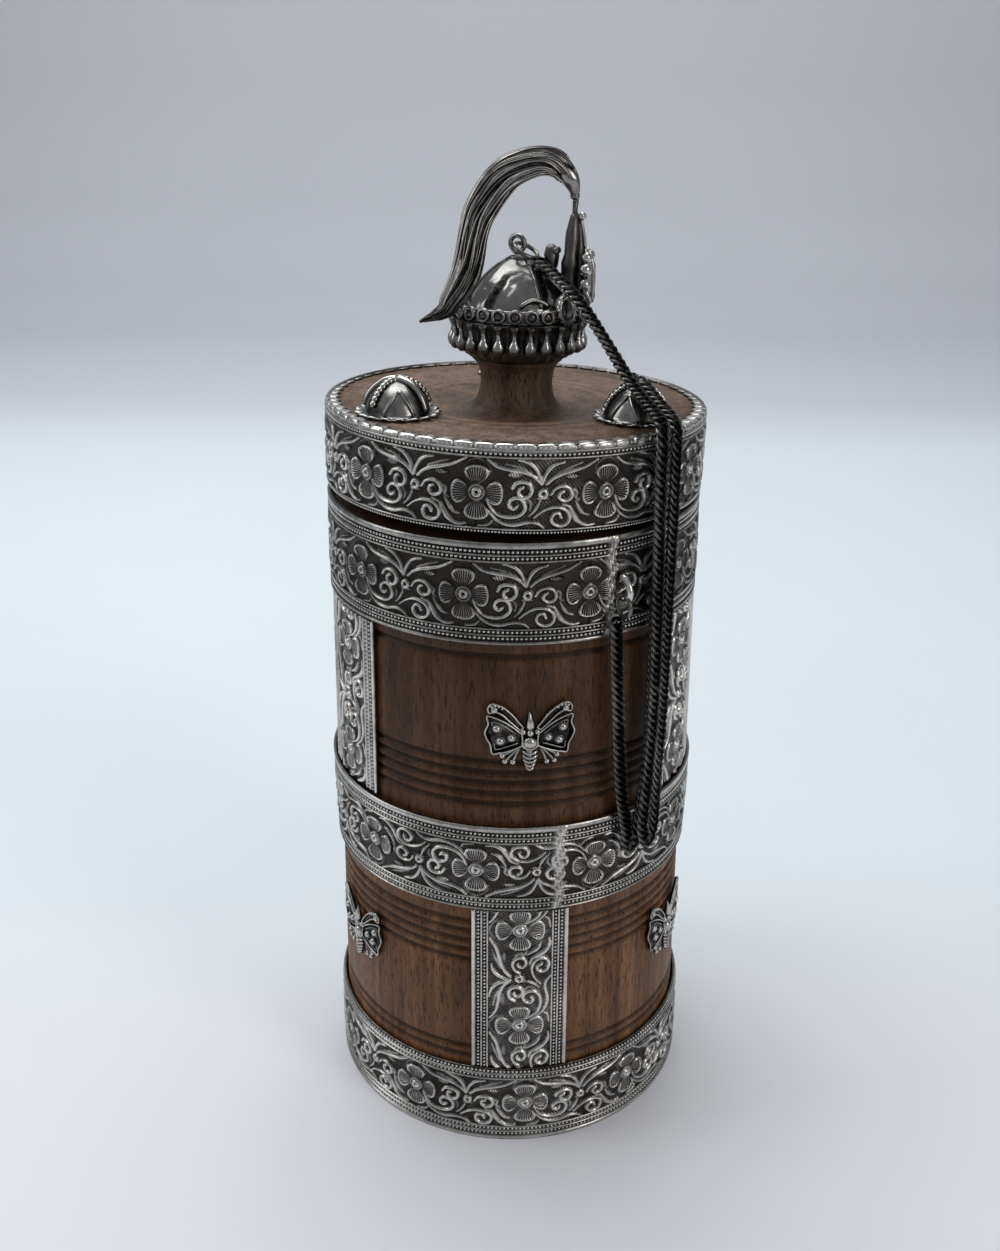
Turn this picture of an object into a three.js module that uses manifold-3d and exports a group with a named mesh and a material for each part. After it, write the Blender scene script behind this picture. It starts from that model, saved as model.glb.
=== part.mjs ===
// Ceremonial ghee box: a turned wooden vessel with silver bands, straps and butterflies, and a plug lid
// whose finial is a plumed crown. A curb chain ties the lid to the vessel.
// Millimetres, +Z up, origin at the centre of the base, front toward -Y.
import * as THREE from "three";
import { mergeVertices } from "three/addons/utils/BufferGeometryUtils.js";
import Module from "manifold-3d";

const wasm = await Module();
wasm.setup();

const TAU = 2 * Math.PI;
const rad = THREE.MathUtils.degToRad;

// Driving dimensions
const vesselHeight = 135; // base to the top edge of the mouth band
const footRadius = 38.2; // wood at the base
const mouthRadius = 36.2; // wood at the mouth
const boreRadius = 30;
const floorThickness = 10;
const rimDrop = 0.6; // the wooden rim sits below the band's edge
const fitGap = 0.3; // clearance between two pieces that touch
const roundSteps = 36; // facets of the large turned pieces

const bandThickness = 0.5;
const rimBead = 0.3; // how far the beaded edges stand proud of the field
const beadWidth = 2.6; // width of the beaded edge along the band
// Each band's two edges and its clearance over the wood at either of them
const mouthBand = { low: vesselHeight - 19.6, high: vesselHeight, lowGap: 0.36, highGap: 0.4 };
const waistBand = { low: 58.1, high: 77.4, lowGap: 0.31, highGap: 0.95 };
const footBand = { low: 0, high: 18.6, lowGap: 0.5, highGap: 0.58 };

const grooveDepth = 0.5;
const grooveWidth = 1.1;
const groovePitch = 2.3;
const mouthGroove = { count: 1, lowest: mouthBand.low - 2.8 };
const waistGroovesAbove = { count: 5, lowest: waistBand.high + 4.2 };
const waistGroovesBelow = { count: 5, lowest: waistBand.low - 13.1 };
const footGrooves = { count: 2, lowest: footBand.high + 2 };

const strapWidth = 19.3;
const strapThickness = 0.5;
const frontStrapAzimuth = 3.2; // measured from the front toward +X
const thirdTurn = 120; // the fittings repeat three times round the vessel
const upperStraps = { left: { azimuth: -60 }, right: { azimuth: 64 }, back: { azimuth: 180 } };

const butterflyWidth = 17.6;
const butterflyHeight = 14.8;
const butterflyThickness = 0.7;
const upperButterfly = { azimuth: 5.4, height: mouthBand.low - 18.7 };
const lowerButterfly = { azimuth: -57.5, height: waistBand.low - 16.6 };

// Lid, measured up from the plane of its band's lower edge
const lidTilt = 1.4; // degrees: the lid doesn't seat square
const lidHighAzimuth = -62; // the side that stands open
const lidBandRadius = mouthRadius + 1;
const lidBandHeight = 16.1;
const lipWidth = 3.2;
const lipThickness = 0.4;
const lipScallops = 40;
const lidWoodRadius = lidBandRadius - bandThickness - 0.4;
const plugDepth = 8;
const plugClearance = 0.8;
const dishRadius = 16;
const dishDepth = 1.2;
const neckRadius = 7;
const neckFootRadius = 9.6;
const neckTopRadius = 8.8;
const neckHeight = 8.6; // above the lid's top
const tenonRadius = 4;

const bossRadius = 6.5;
const bossFlangeRadius = 7.9;
const bossHeight = 7.2;
const bossRibs = 6;
// Each boss's place and the gap between its flange and the lid's folded lip
const bossPlaces = {
  left: { azimuth: -60.8, lipGap: 0.9 },
  right: { azimuth: 62.5, lipGap: 0.5 },
  back: { azimuth: 180, lipGap: 0.9 },
};

// Crown finial, heights above the neck's top
const crownAzimuth = 80; // the way the crown faces
const crownRadius = 12; // middle of the collar of settings
const settingRing = { height: 9.4, thickness: 1, width: 2.2 };
const fringeCount = 26;
const settingRadius = 1.25;
const skirtRadius = crownRadius + 0.1; // its flared top carries the collar
const skirtTop = settingRing.height - settingRing.width / 2 - fitGap;
const dropLength = 5.4;
const dropRadius = 1.15;
const dropTop = settingRing.height - 1.8;
const dropRing = { radius: crownRadius + 0.9, wire: 0.45 };
const domeRadius = crownRadius - 1.4;
const domeBase = skirtTop + fitGap;
const domeHeight = 10.7;
const jewelAzimuth = 34; // either side of the way the crown faces
const jewelHeight = settingRing.height + 1.2;
const jewelSeat = crownRadius - 0.9; // the back of the collets
const jewelRadius = 1.35;
const jewelOval = 1.3; // height over width
const jewelDepth = 1; // from the collet's floor to its edge
const colletDepth = 2.4;
const colletWall = 0.45;

const crestReach = crownRadius - 2; // from the crown's axis to the crest's middle line
const crestHalfWidth = 3.3;
const crestHeight = 16.7;
const frontLeafReach = crownRadius + 1.4;
const frontLeafHeight = 10.2;
const backLeafReach = crownRadius / 2;
const backLeafHeight = 5.1;
const beadRadius = 1.05;

const capLoopRadius = 1.5;
const capLoopWire = 0.45;
const capRingRadius = 2.4;
const capRingWire = 0.4;

const eyeAzimuth = 31.7;
const eyeHeight = vesselHeight - 10.6;
const eyeRadius = 2.6;
const eyeWire = 0.55;
const eyeRingRadius = 2.1;
const eyeRingWire = 0.4;
const chainRadius = 1.2; // half the thickness of the chain

// Materials
const finish = (color, roughness, metalness) =>
  new THREE.MeshStandardMaterial({ color, roughness, metalness });
const wood = finish(0x6b432b, 0.5, 0);
const silver = finish(0x9a9892, 0.35, 1);
const darkSilver = finish(0x3a3836, 0.45, 1);
const stone = finish(0x14110f, 0.2, 0);

// Small helpers
const woodRadiusAt = (z) => footRadius + ((mouthRadius - footRadius) * z) / vesselHeight;

function around(radius, azimuth, z) {
  return new THREE.Vector3(radius * Math.sin(rad(azimuth)), -radius * Math.cos(rad(azimuth)), z);
}

// A body of revolution from [radius, height] pairs, turned so that its axis is +Z.
function turned(profile, segments = roundSteps) {
  const points = profile.map(([r, z]) => new THREE.Vector2(r, z));
  return new THREE.LatheGeometry(points, segments).rotateX(Math.PI / 2);
}

function mapVertices(geometry, change) {
  const place = geometry.getAttribute("position");
  const p = new THREE.Vector3();
  for (let i = 0; i < place.count; i++) {
    change(p.fromBufferAttribute(place, i));
    place.setXYZ(i, p.x, p.y, p.z);
  }
  return geometry;
}

function toSolid(geometry) {
  const bare = geometry.clone();
  bare.deleteAttribute("normal");
  bare.deleteAttribute("uv");
  const merged = mergeVertices(bare, 1e-4);
  return new wasm.Manifold(
    new wasm.Mesh({
      numProp: 3,
      vertProperties: new Float32Array(merged.getAttribute("position").array),
      triVerts: new Uint32Array(merged.index.array),
    }),
  );
}

function fromSolid(solid) {
  const mesh = solid.getMesh();
  const geometry = new THREE.BufferGeometry();
  geometry.setAttribute("position", new THREE.BufferAttribute(mesh.vertProperties, 3));
  geometry.setIndex(new THREE.BufferAttribute(mesh.triVerts, 1));
  return geometry;
}

const joined = (geometries) =>
  fromSolid(geometries.map(toSolid).reduce((whole, piece) => whole.add(piece)));

// A closed skin over rings of equally many points, capped at both ends.
function loft(rings) {
  const sides = rings[0].length;
  const corners = rings.flat().flatMap((p) => [p.x, p.y, p.z]);
  const faces = [];
  for (let i = 0; i + 1 < rings.length; i++)
    for (let j = 0; j < sides; j++) {
      const a = i * sides + j;
      const b = i * sides + ((j + 1) % sides);
      faces.push(a, b, b + sides, a, b + sides, a + sides);
    }
  const last = (rings.length - 1) * sides;
  for (let j = 1; j + 1 < sides; j++) {
    faces.push(0, j + 1, j);
    faces.push(last, last + j, last + j + 1);
  }
  const geometry = new THREE.BufferGeometry();
  geometry.setAttribute("position", new THREE.Float32BufferAttribute(corners, 3));
  geometry.setIndex(faces);
  return geometry;
}

function wireAlong(curve, radius, steps, sides = 8) {
  const section = new THREE.Shape();
  section.absarc(0, 0, radius, 0, TAU);
  return new THREE.ExtrudeGeometry(section, {
    steps,
    curveSegments: sides / 2, // a full circle gets two points per segment
    extrudePath: curve,
    bevelEnabled: false,
  });
}

function named(name, geometry, material) {
  const mesh = new THREE.Mesh(geometry, material);
  mesh.name = name;
  return mesh;
}

const box = new THREE.Group();
const lid = new THREE.Group();
const crown = new THREE.Group();

// Turned wooden vessel
function grooveCut({ count, lowest }) {
  const points = [];
  for (let i = 0; i < count; i++) {
    const z = lowest + i * groovePitch;
    points.push([woodRadiusAt(z - grooveWidth / 2), z - grooveWidth / 2]);
    points.push([woodRadiusAt(z) - grooveDepth, z]);
    points.push([woodRadiusAt(z + grooveWidth / 2), z + grooveWidth / 2]);
  }
  return points;
}

const rimHeight = vesselHeight - rimDrop;
const vesselBody = turned([
  [0, 0],
  [footRadius, 0],
  ...grooveCut(footGrooves),
  ...grooveCut(waistGroovesBelow),
  ...grooveCut(waistGroovesAbove),
  ...grooveCut(mouthGroove),
  [woodRadiusAt(rimHeight), rimHeight],
  [boreRadius, rimHeight],
  [boreRadius, floorThickness],
  [0, floorThickness],
]);
box.add(named("vessel_body", vesselBody, wood));

// Hoop of sheet silver with a beaded ridge along both edges
const bandInnerAt = ({ low, high, lowGap, highGap }, z) =>
  woodRadiusAt(z) + THREE.MathUtils.mapLinear(z, low, high, lowGap, highGap);

function hoop(band) {
  const { low, high } = band;
  const face = (z, proud = 0) => [bandInnerAt(band, z) + bandThickness + proud, z];
  return turned([
    [bandInnerAt(band, low), low],
    face(low, rimBead),
    face(low + beadWidth, rimBead),
    face(low + beadWidth + rimBead),
    face(high - beadWidth - rimBead),
    face(high - beadWidth, rimBead),
    face(high, rimBead),
    [bandInnerAt(band, high), high],
    [bandInnerAt(band, low), low],
  ]);
}
box.add(named("mouth_band", hoop(mouthBand), silver));
box.add(named("waist_band", hoop(waistBand), silver));
box.add(named("foot_band", hoop(footBand), silver));

// Upright strap bent round the wood between two hoops
const mouthFaceRadius = bandInnerAt(mouthBand, mouthBand.low) + bandThickness;

function strap(azimuth, low, high) {
  const bendSteps = 12;
  const length = high - low;
  const sheet = new THREE.BoxGeometry(strapWidth, length, strapThickness, bendSteps, 1, 1);
  return mapVertices(sheet, (p) => {
    const z = low + length / 2 + p.y;
    const edge = Math.abs(p.x) > strapWidth / 2 - beadWidth;
    const proud = p.z > 0 && edge ? rimBead : 0;
    const inner = woodRadiusAt(z) / Math.cos(Math.PI / roundSteps) + fitGap / 2;
    const r = inner + strapThickness / 2 + p.z + proud;
    const turn = azimuth + THREE.MathUtils.radToDeg(p.x / mouthFaceRadius);
    p.copy(around(r, turn, z));
  });
}
const upperStrapSpan = [waistBand.high + fitGap, mouthBand.low - fitGap];
const lowerStrapSpan = [footBand.high + fitGap, waistBand.low - fitGap];
for (const [side, { azimuth }] of Object.entries(upperStraps))
  box.add(named(`upper_strap_${side}`, strap(azimuth, ...upperStrapSpan), silver));
["front", "right", "left"].forEach((side, i) => {
  const azimuth = frontStrapAzimuth + i * thirdTurn;
  box.add(named(`lower_strap_${side}`, strap(azimuth, ...lowerStrapSpan), silver));
});

// Butterfly, drawn flat in shares of its width and height, then bent to the wood
function butterfly({ azimuth, height }) {
  const w = butterflyWidth / 2;
  const h = butterflyHeight / 2;
  const wing = new THREE.Shape();
  wing.moveTo(0.08 * w, -0.15 * h);
  wing.lineTo(0.12 * w, 0.3 * h);
  wing.quadraticCurveTo(0.5 * w, 0.95 * h, 0.82 * w, 0.98 * h);
  wing.quadraticCurveTo(1.02 * w, 0.92 * h, 0.94 * w, 0.62 * h);
  wing.quadraticCurveTo(1.06 * w, 0.4 * h, 0.9 * w, 0.1 * h);
  wing.lineTo(0.78 * w, -0.3 * h);
  wing.quadraticCurveTo(0.6 * w, -0.36 * h, 0.42 * w, -0.26 * h);
  wing.lineTo(0.58 * w, -0.62 * h);
  wing.quadraticCurveTo(0.4 * w, -0.74 * h, 0.3 * w, -0.64 * h);
  const plate = { depth: butterflyThickness, bevelEnabled: false, curveSegments: 3 };
  const right = new THREE.ExtrudeGeometry(wing, plate);
  const left = right.clone().rotateY(Math.PI).translate(0, 0, butterflyThickness);
  const trunk = turned(
    [
      [0, -h],
      [0.09 * w, -0.8 * h],
      [0.15 * w, -0.45 * h],
      [0.13 * w, -0.2 * h],
      [0.17 * w, 0.05 * h],
      [0.14 * w, 0.3 * h],
      [0.12 * w, 0.5 * h],
      [0, h],
    ],
    6,
  );
  trunk.rotateX(-Math.PI / 2).translate(0, 0, butterflyThickness);
  const clear = woodRadiusAt(height - h) / Math.cos(Math.PI / roundSteps) + fitGap;
  return mapVertices(joined([right, left, trunk]), (p) => {
    const outward = Math.max(p.z, 0); // the trunk's underside is pressed flat
    const turn = azimuth + THREE.MathUtils.radToDeg(p.x / clear);
    p.copy(around(clear + outward, turn, height + p.y));
  });
}
["front", "right", "left"].forEach((side, i) => {
  const place = { azimuth: upperButterfly.azimuth + i * thirdTurn, height: upperButterfly.height };
  box.add(named(`upper_butterfly_${side}`, butterfly(place), silver));
});
["left", "right", "back"].forEach((side, i) => {
  const place = { azimuth: lowerButterfly.azimuth + i * thirdTurn, height: lowerButterfly.height };
  box.add(named(`lower_butterfly_${side}`, butterfly(place), silver));
});

// Half-round eye on the mouth band and the jump ring that hangs in it
class HalfRing extends THREE.Curve {
  constructor(centre, out, radius) {
    super();
    Object.assign(this, { centre, out, radius });
  }

  getPoint(t, target = new THREE.Vector3()) {
    const turn = Math.PI * (t - 0.5);
    return target
      .copy(this.centre)
      .addScaledVector(this.out, this.radius * Math.cos(turn))
      .add(new THREE.Vector3(0, 0, this.radius * Math.sin(turn)));
  }
}
const bandFace = mouthFaceRadius + rimBead;
const eyeOut = around(1, eyeAzimuth, 0);
const eyeFoot = around(bandFace + fitGap, eyeAzimuth, eyeHeight);
box.add(named("chain_eye", wireAlong(new HalfRing(eyeFoot, eyeOut, eyeRadius), eyeWire, 14), silver));

const eyeRingReach = bandFace + 1.75;
const eyeRingCentre = around(eyeRingReach, eyeAzimuth - 0.7, eyeHeight - eyeRadius);
const eyeRing = new THREE.TorusGeometry(eyeRingRadius, eyeRingWire, 6, 16);
eyeRing.rotateX(Math.PI / 2).rotateZ(rad(eyeAzimuth));
eyeRing.translate(eyeRingCentre.x, eyeRingCentre.y, eyeRingCentre.z);
box.add(named("chain_eye_ring", eyeRing, darkSilver));

// Wooden lid: plug, disc with a dished top, and neck with a tenon for the crown
const lidTop = lidBandHeight - lipThickness - fitGap;
const dishFloor = lidTop - dishDepth;
const neckTop = lidTop + neckHeight;
const lidWood = turned([
  [0, -plugDepth],
  [boreRadius - plugClearance - 1, -plugDepth],
  [boreRadius - plugClearance, -plugDepth + 1],
  [boreRadius - plugClearance, 0],
  [lidWoodRadius, 0],
  [lidWoodRadius, lidTop],
  [dishRadius + 2, lidTop],
  [dishRadius - 3, dishFloor],
  [neckFootRadius, dishFloor],
  [neckRadius + 0.9, dishFloor + 1.2],
  [neckRadius + 0.1, dishFloor + 3.4],
  [neckRadius, dishFloor + 5],
  [neckRadius + 0.4, neckTop - 1.8],
  [neckTopRadius, neckTop],
  [tenonRadius, neckTop],
  [tenonRadius, neckTop + skirtTop],
  [0, neckTop + skirtTop],
]);
lid.add(named("lid_wood", lidWood, wood));

// Lid hoop: its upper edge is folded over the top and scalloped
function lidHoop() {
  const outer = lidBandRadius;
  const inner = outer - bandThickness;
  const lipEdge = outer - lipWidth;
  const top = lidBandHeight;
  const under = top - lipThickness;
  const ring = turned(
    [
      [inner, 0],
      [outer + rimBead, 0],
      [outer, beadWidth],
      [outer, top - beadWidth],
      [outer + rimBead, top - lipThickness],
      [outer - lipThickness, top],
      [lipEdge, top],
      [lipEdge, under],
      [inner, under],
      [inner, 0],
    ],
    2 * lipScallops,
  );
  return mapVertices(ring, (p) => {
    const r = Math.hypot(p.x, p.y);
    if (r > lipEdge + 0.1) return;
    const step = Math.round((Math.atan2(p.y, p.x) / TAU) * 2 * lipScallops);
    const bite = step % 2 ? 0.9 : 0;
    p.x *= (r + bite) / r;
    p.y *= (r + bite) / r;
  });
}
lid.add(named("lid_band", lidHoop(), silver));

// Ribbed boss with a scalloped flange
function boss({ azimuth, lipGap }) {
  const radius = lidBandRadius - lipWidth - lipGap - bossFlangeRadius;
  const flange = 0.5;
  const dome = [
    [0, 0],
    [bossFlangeRadius, 0],
    [bossFlangeRadius, flange],
    [bossRadius, flange],
    [0.88 * bossRadius, 0.48 * bossHeight],
    [0.52 * bossRadius, 0.83 * bossHeight],
    [0, bossHeight],
  ];
  const steps = 6 * bossRibs;
  const body = mapVertices(turned(dome, steps), (p) => {
    const r = Math.hypot(p.x, p.y);
    if (r < 0.01) return;
    const turn = Math.atan2(p.y, p.x);
    const step = Math.round((turn / TAU) * steps);
    const rib = p.z > flange + 0.01 && step % 6 === 0 ? 0.55 : 0;
    const scallop = r > bossRadius + 0.1 && step % 3 === 0 ? -0.8 : 0;
    p.x *= (r + rib + scallop) / r;
    p.y *= (r + rib + scallop) / r;
  });
  const place = around(radius, azimuth, lidTop + fitGap);
  return body.rotateZ(rad(azimuth)).translate(place.x, place.y, place.z);
}
for (const [side, place] of Object.entries(bossPlaces))
  lid.add(named(`lid_boss_${side}`, boss(place), silver));

// Crown: skirt, collar of settings with two side collets, hanging drops, dome
const skirtBore = tenonRadius + fitGap;
const skirt = turned(
  [
    [skirtBore, fitGap],
    [neckTopRadius + 0.2, fitGap],
    [0.84 * skirtRadius, 1.2],
    [0.94 * skirtRadius, 2.8],
    [0.9 * skirtRadius, 5],
    [skirtRadius, skirtTop - 0.8],
    [skirtRadius, skirtTop],
    [skirtBore, skirtTop],
    [skirtBore, fitGap],
  ],
  32,
);
crown.add(named("crown_skirt", skirt, darkSilver));

const onRing = (geometry, radius, turn, height) =>
  geometry.clone().translate(radius, 0, height).rotateZ(turn);

function settingCollar() {
  const { height, thickness, width } = settingRing;
  const half = width / 2;
  const ring = turned(
    [
      [crownRadius - thickness / 2, height - half],
      [crownRadius + thickness / 2, height - half],
      [crownRadius + thickness / 2, height + half],
      [crownRadius - thickness / 2, height + half],
      [crownRadius - thickness / 2, height - half],
    ],
    fringeCount,
  );
  const cabochon = new THREE.SphereGeometry(settingRadius, 5, 3);
  const pieces = [ring];
  const seat = crownRadius + thickness / 2 - 0.1;
  for (let i = 0; i < fringeCount; i++) {
    const turn = (i * TAU) / fringeCount;
    const off = Math.abs(THREE.MathUtils.euclideanModulo(turn + Math.PI, TAU) - Math.PI);
    if (Math.abs(off - rad(jewelAzimuth)) < rad(13)) continue;
    pieces.push(onRing(cabochon, seat, turn, height));
  }
  for (const side of [-1, 1])
    pieces.push(onRing(collet(), jewelSeat, side * rad(jewelAzimuth), jewelHeight));
  return joined(pieces);
}

// Oval cup that opens outward along +X
function collet() {
  const outer = jewelRadius + colletWall;
  const cup = turned(
    [
      [0, 0],
      [outer, 0],
      [outer, colletDepth],
      [jewelRadius, colletDepth],
      [jewelRadius, colletDepth - jewelDepth],
      [0, colletDepth - jewelDepth],
    ],
    12,
  );
  return cup.rotateY(Math.PI / 2).scale(1, 1, jewelOval);
}
crown.add(named("crown_settings", settingCollar(), darkSilver));

function sideStone(side) {
  const r = jewelRadius - fitGap / 2;
  const gem = turned(
    [
      [0, colletDepth - jewelDepth + fitGap / 2],
      [r, colletDepth - jewelDepth + fitGap / 2],
      [r, colletDepth],
      [0.6 * r, colletDepth + 0.6],
      [0, colletDepth + 0.7],
    ],
    12,
  );
  gem.rotateY(Math.PI / 2).scale(1, 1, jewelOval);
  return onRing(gem, jewelSeat, side * rad(jewelAzimuth), jewelHeight);
}
crown.add(named("side_stone_right", sideStone(-1), stone));
crown.add(named("side_stone_left", sideStone(1), stone));

function dropFringe() {
  const wire = new THREE.TorusGeometry(dropRing.radius, dropRing.wire, 4, fringeCount);
  wire.translate(0, 0, dropTop);
  const drop = turned(
    [
      [0, -dropLength],
      [0.75 * dropRadius, -0.94 * dropLength],
      [dropRadius, -0.76 * dropLength],
      [0.35 * dropRadius, 0],
      [0, 0.1],
    ],
    5,
  );
  const pieces = [wire];
  for (let i = 0; i < fringeCount; i++)
    pieces.push(onRing(drop, dropRing.radius, (i * TAU) / fringeCount, dropTop));
  return joined(pieces);
}
crown.add(named("drop_fringe", dropFringe(), darkSilver));

const domeProfile = [
  [0, domeBase],
  [domeRadius, domeBase],
  [0.94 * domeRadius, domeBase + 0.17 * domeHeight],
  [0.81 * domeRadius, domeBase + 0.39 * domeHeight],
  [0.66 * domeRadius, domeBase + 0.6 * domeHeight],
  [0.51 * domeRadius, domeBase + 0.76 * domeHeight],
  [0.32 * domeRadius, domeBase + 0.9 * domeHeight],
  [0, domeBase + domeHeight],
];
crown.add(named("crown_dome", turned(domeProfile, 32), silver));

// Leaf from rings in level planes, each given as shares of the leaf's reach from the crown's axis,
// its half width (along the way the crown faces, then across) and its height
function leaf(foot, reach, halfWidth, height, rings, sides = 12) {
  return loft(
    rings.map(([x, along, across, rise]) =>
      Array.from({ length: sides }, (_, i) => {
        const turn = (i * TAU) / sides;
        return new THREE.Vector3(
          x * reach + along * halfWidth * Math.cos(turn),
          across * halfWidth * Math.sin(turn),
          foot + rise * height,
        );
      }),
    ),
  );
}
const crestFoot = settingRing.height + settingRing.width / 2 + fitGap;
const crestTop = crestFoot + crestHeight;
const crestLeaf = leaf(crestFoot, crestReach, crestHalfWidth, crestHeight, [
  [1.13, 0.27, 0.79, 0],
  [0.99, 0.55, 0.94, 0.2],
  [0.98, 0.58, 1, 0.46],
  [1, 0.48, 0.82, 0.68],
  [1.005, 0.36, 0.64, 0.86],
  [1.01, 0.24, 0.39, 0.965],
  [1.01, 0.11, 0.18, 1],
]);
crown.add(named("crest_leaf", crestLeaf, darkSilver));

function frontLeaf() {
  const plate = leaf(crestFoot, frontLeafReach, crestHalfWidth, frontLeafHeight, [
    [0.98, 0.11, 0.73, 0],
    [1.01, 0.12, 0.94, 0.29],
    [1, 0.12, 1, 0.61],
    [0.96, 0.12, 0.7, 0.86],
    [0.925, 0.09, 0.24, 1],
  ]);
  const bead = new THREE.SphereGeometry(beadRadius, 6, 5);
  const rows = [
    [0.955, 0.67, 0.85],
    [0.965, 0.94, 0.66],
    [0.965, 1, 0.39],
  ];
  const beads = rows.flatMap(([x, y, rise]) =>
    [-1, 1].map((side) => {
      const across = side * y * crestHalfWidth;
      return bead.clone().translate(x * frontLeafReach, across, crestFoot + rise * frontLeafHeight);
    }),
  );
  return joined([plate, ...beads]);
}
crown.add(named("crest_front_leaf", frontLeaf(), silver));

const backLeaf = leaf(crestFoot + 5.6, backLeafReach, crestHalfWidth, backLeafHeight, [
  [1.05, 0.15, 0.36, 0],
  [1.02, 0.36, 0.52, 0.24],
  [1, 0.45, 0.58, 0.63],
  [0.99, 0.3, 0.36, 0.9],
  [0.98, 0.09, 0.12, 1],
]);
crown.add(named("crest_back_leaf", backLeaf, darkSilver));

// Plume: quill, smooth bud and a bundle of barbs that arches back and leans past the collar.
// Each entry is a point of its middle line and half its width there.
const plumeStations = [
  [10.1, -0.5, crestTop + fitGap, 0.45],
  [10.2, -0.7, 29.8, 0.6],
  [9.1, -1.1, 33.1, 1.7],
  [6.5, -1.9, 35.8, 2.3],
  [3.4, -2.7, 36.3, 2.4],
  [-0.9, -3.8, 34.8, 2.7],
  [-3.8, -4.9, 32.3, 2.9],
  [-6.5, -6.2, 27.7, 2.8],
  [-7.5, -7.4, 23.8, 2.6],
  [-8.1, -8.8, 18.5, 2.6],
  [-8.9, -9.9, 15.2, 2.5],
  [-10.7, -11.1, 11.9, 2.1],
  [-12.3, -11.8, 9.7, 1.4],
  [-16.6, -12, 7.7, 0.25],
];
const plumeRoute = new THREE.CatmullRomCurve3(
  plumeStations.map(([x, y, z]) => new THREE.Vector3(x, y, z)),
);
const plumeDepth = 0.7; // thickness of the bundle as a share of its width

function plumeRing(t, sides) {
  const at = t * (plumeStations.length - 1);
  const i = Math.min(Math.floor(at), plumeStations.length - 2);
  const half = THREE.MathUtils.lerp(plumeStations[i][3], plumeStations[i + 1][3], at - i);
  const centre = plumeRoute.getPoint(t);
  const along = plumeRoute.getTangent(t);
  const across = new THREE.Vector3(0, 1, 0);
  across.addScaledVector(along, -along.y).normalize();
  const up = new THREE.Vector3().crossVectors(along, across);
  return Array.from({ length: sides }, (_, j) => {
    const turn = (j * TAU) / sides;
    const groove = sides > 12 && j % 2 ? 0.82 : 1;
    return centre
      .clone()
      .addScaledVector(up, half * groove * Math.sin(turn))
      .addScaledVector(across, plumeDepth * half * groove * Math.cos(turn));
  });
}

function plumePart(from, to, steps, sides) {
  const rings = [];
  for (let i = 0; i <= steps; i++) rings.push(plumeRing(from + ((to - from) * i) / steps, sides));
  return loft(rings);
}
crown.add(named("plume_quill", plumePart(0, 0.215, 6, 10), silver));
crown.add(named("plume_barbs", plumePart(0.222, 1, 22, 16), silver));

// Loop on top of the dome and the chain's first jump ring
const capLoopHeight = domeBase + domeHeight + fitGap + capLoopRadius + capLoopWire;
const loopFacing = rad(-30); // the loop's axis, turned from the front toward -X, in the lid's frame
const capLoop = new THREE.TorusGeometry(capLoopRadius, capLoopWire, 6, 16);
capLoop.rotateX(Math.PI / 2).rotateZ(loopFacing - rad(crownAzimuth - 90));
capLoop.translate(-0.6, 0, capLoopHeight);
crown.add(named("cap_loop", capLoop, silver));

crown.position.z = neckTop;
crown.rotation.z = rad(crownAzimuth - 90);
lid.add(crown);

// The lid touches the mouth band on one side and stands open on the other
const tiltAxis = new THREE.Vector3(-Math.cos(rad(lidHighAzimuth)), -Math.sin(rad(lidHighAzimuth)), 0);
lid.quaternion.setFromAxisAngle(tiltAxis, rad(lidTilt));
lid.position.z = vesselHeight + fitGap + (lidBandRadius + rimBead) * Math.sin(rad(lidTilt));
box.add(lid);

// The jump ring hangs from the loop toward the right boss
lid.updateMatrixWorld(true);
const loopCentre = new THREE.Vector3(-0.6, 0, capLoopHeight).applyMatrix4(crown.matrixWorld);
const loopAxis = new THREE.Vector3(Math.sin(rad(30)), Math.cos(rad(30)), 0);
const hang = new THREE.Vector3(0.75, -0.433, -0.5).normalize();
const ringNormal = new THREE.Vector3().crossVectors(loopAxis, hang).normalize();
const ringHook = loopCentre.clone().addScaledVector(hang, -capLoopRadius * 0.1);
const capRingCentre = ringHook.clone().addScaledVector(hang, capRingRadius);
const capRing = new THREE.TorusGeometry(capRingRadius, capRingWire, 6, 16);
const upAxis = new THREE.Vector3(0, 0, 1);
capRing.applyQuaternion(new THREE.Quaternion().setFromUnitVectors(upAxis, ringNormal));
capRing.translate(capRingCentre.x, capRingCentre.y, capRingCentre.z);
box.add(named("cap_ring", capRing, darkSilver));

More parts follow.
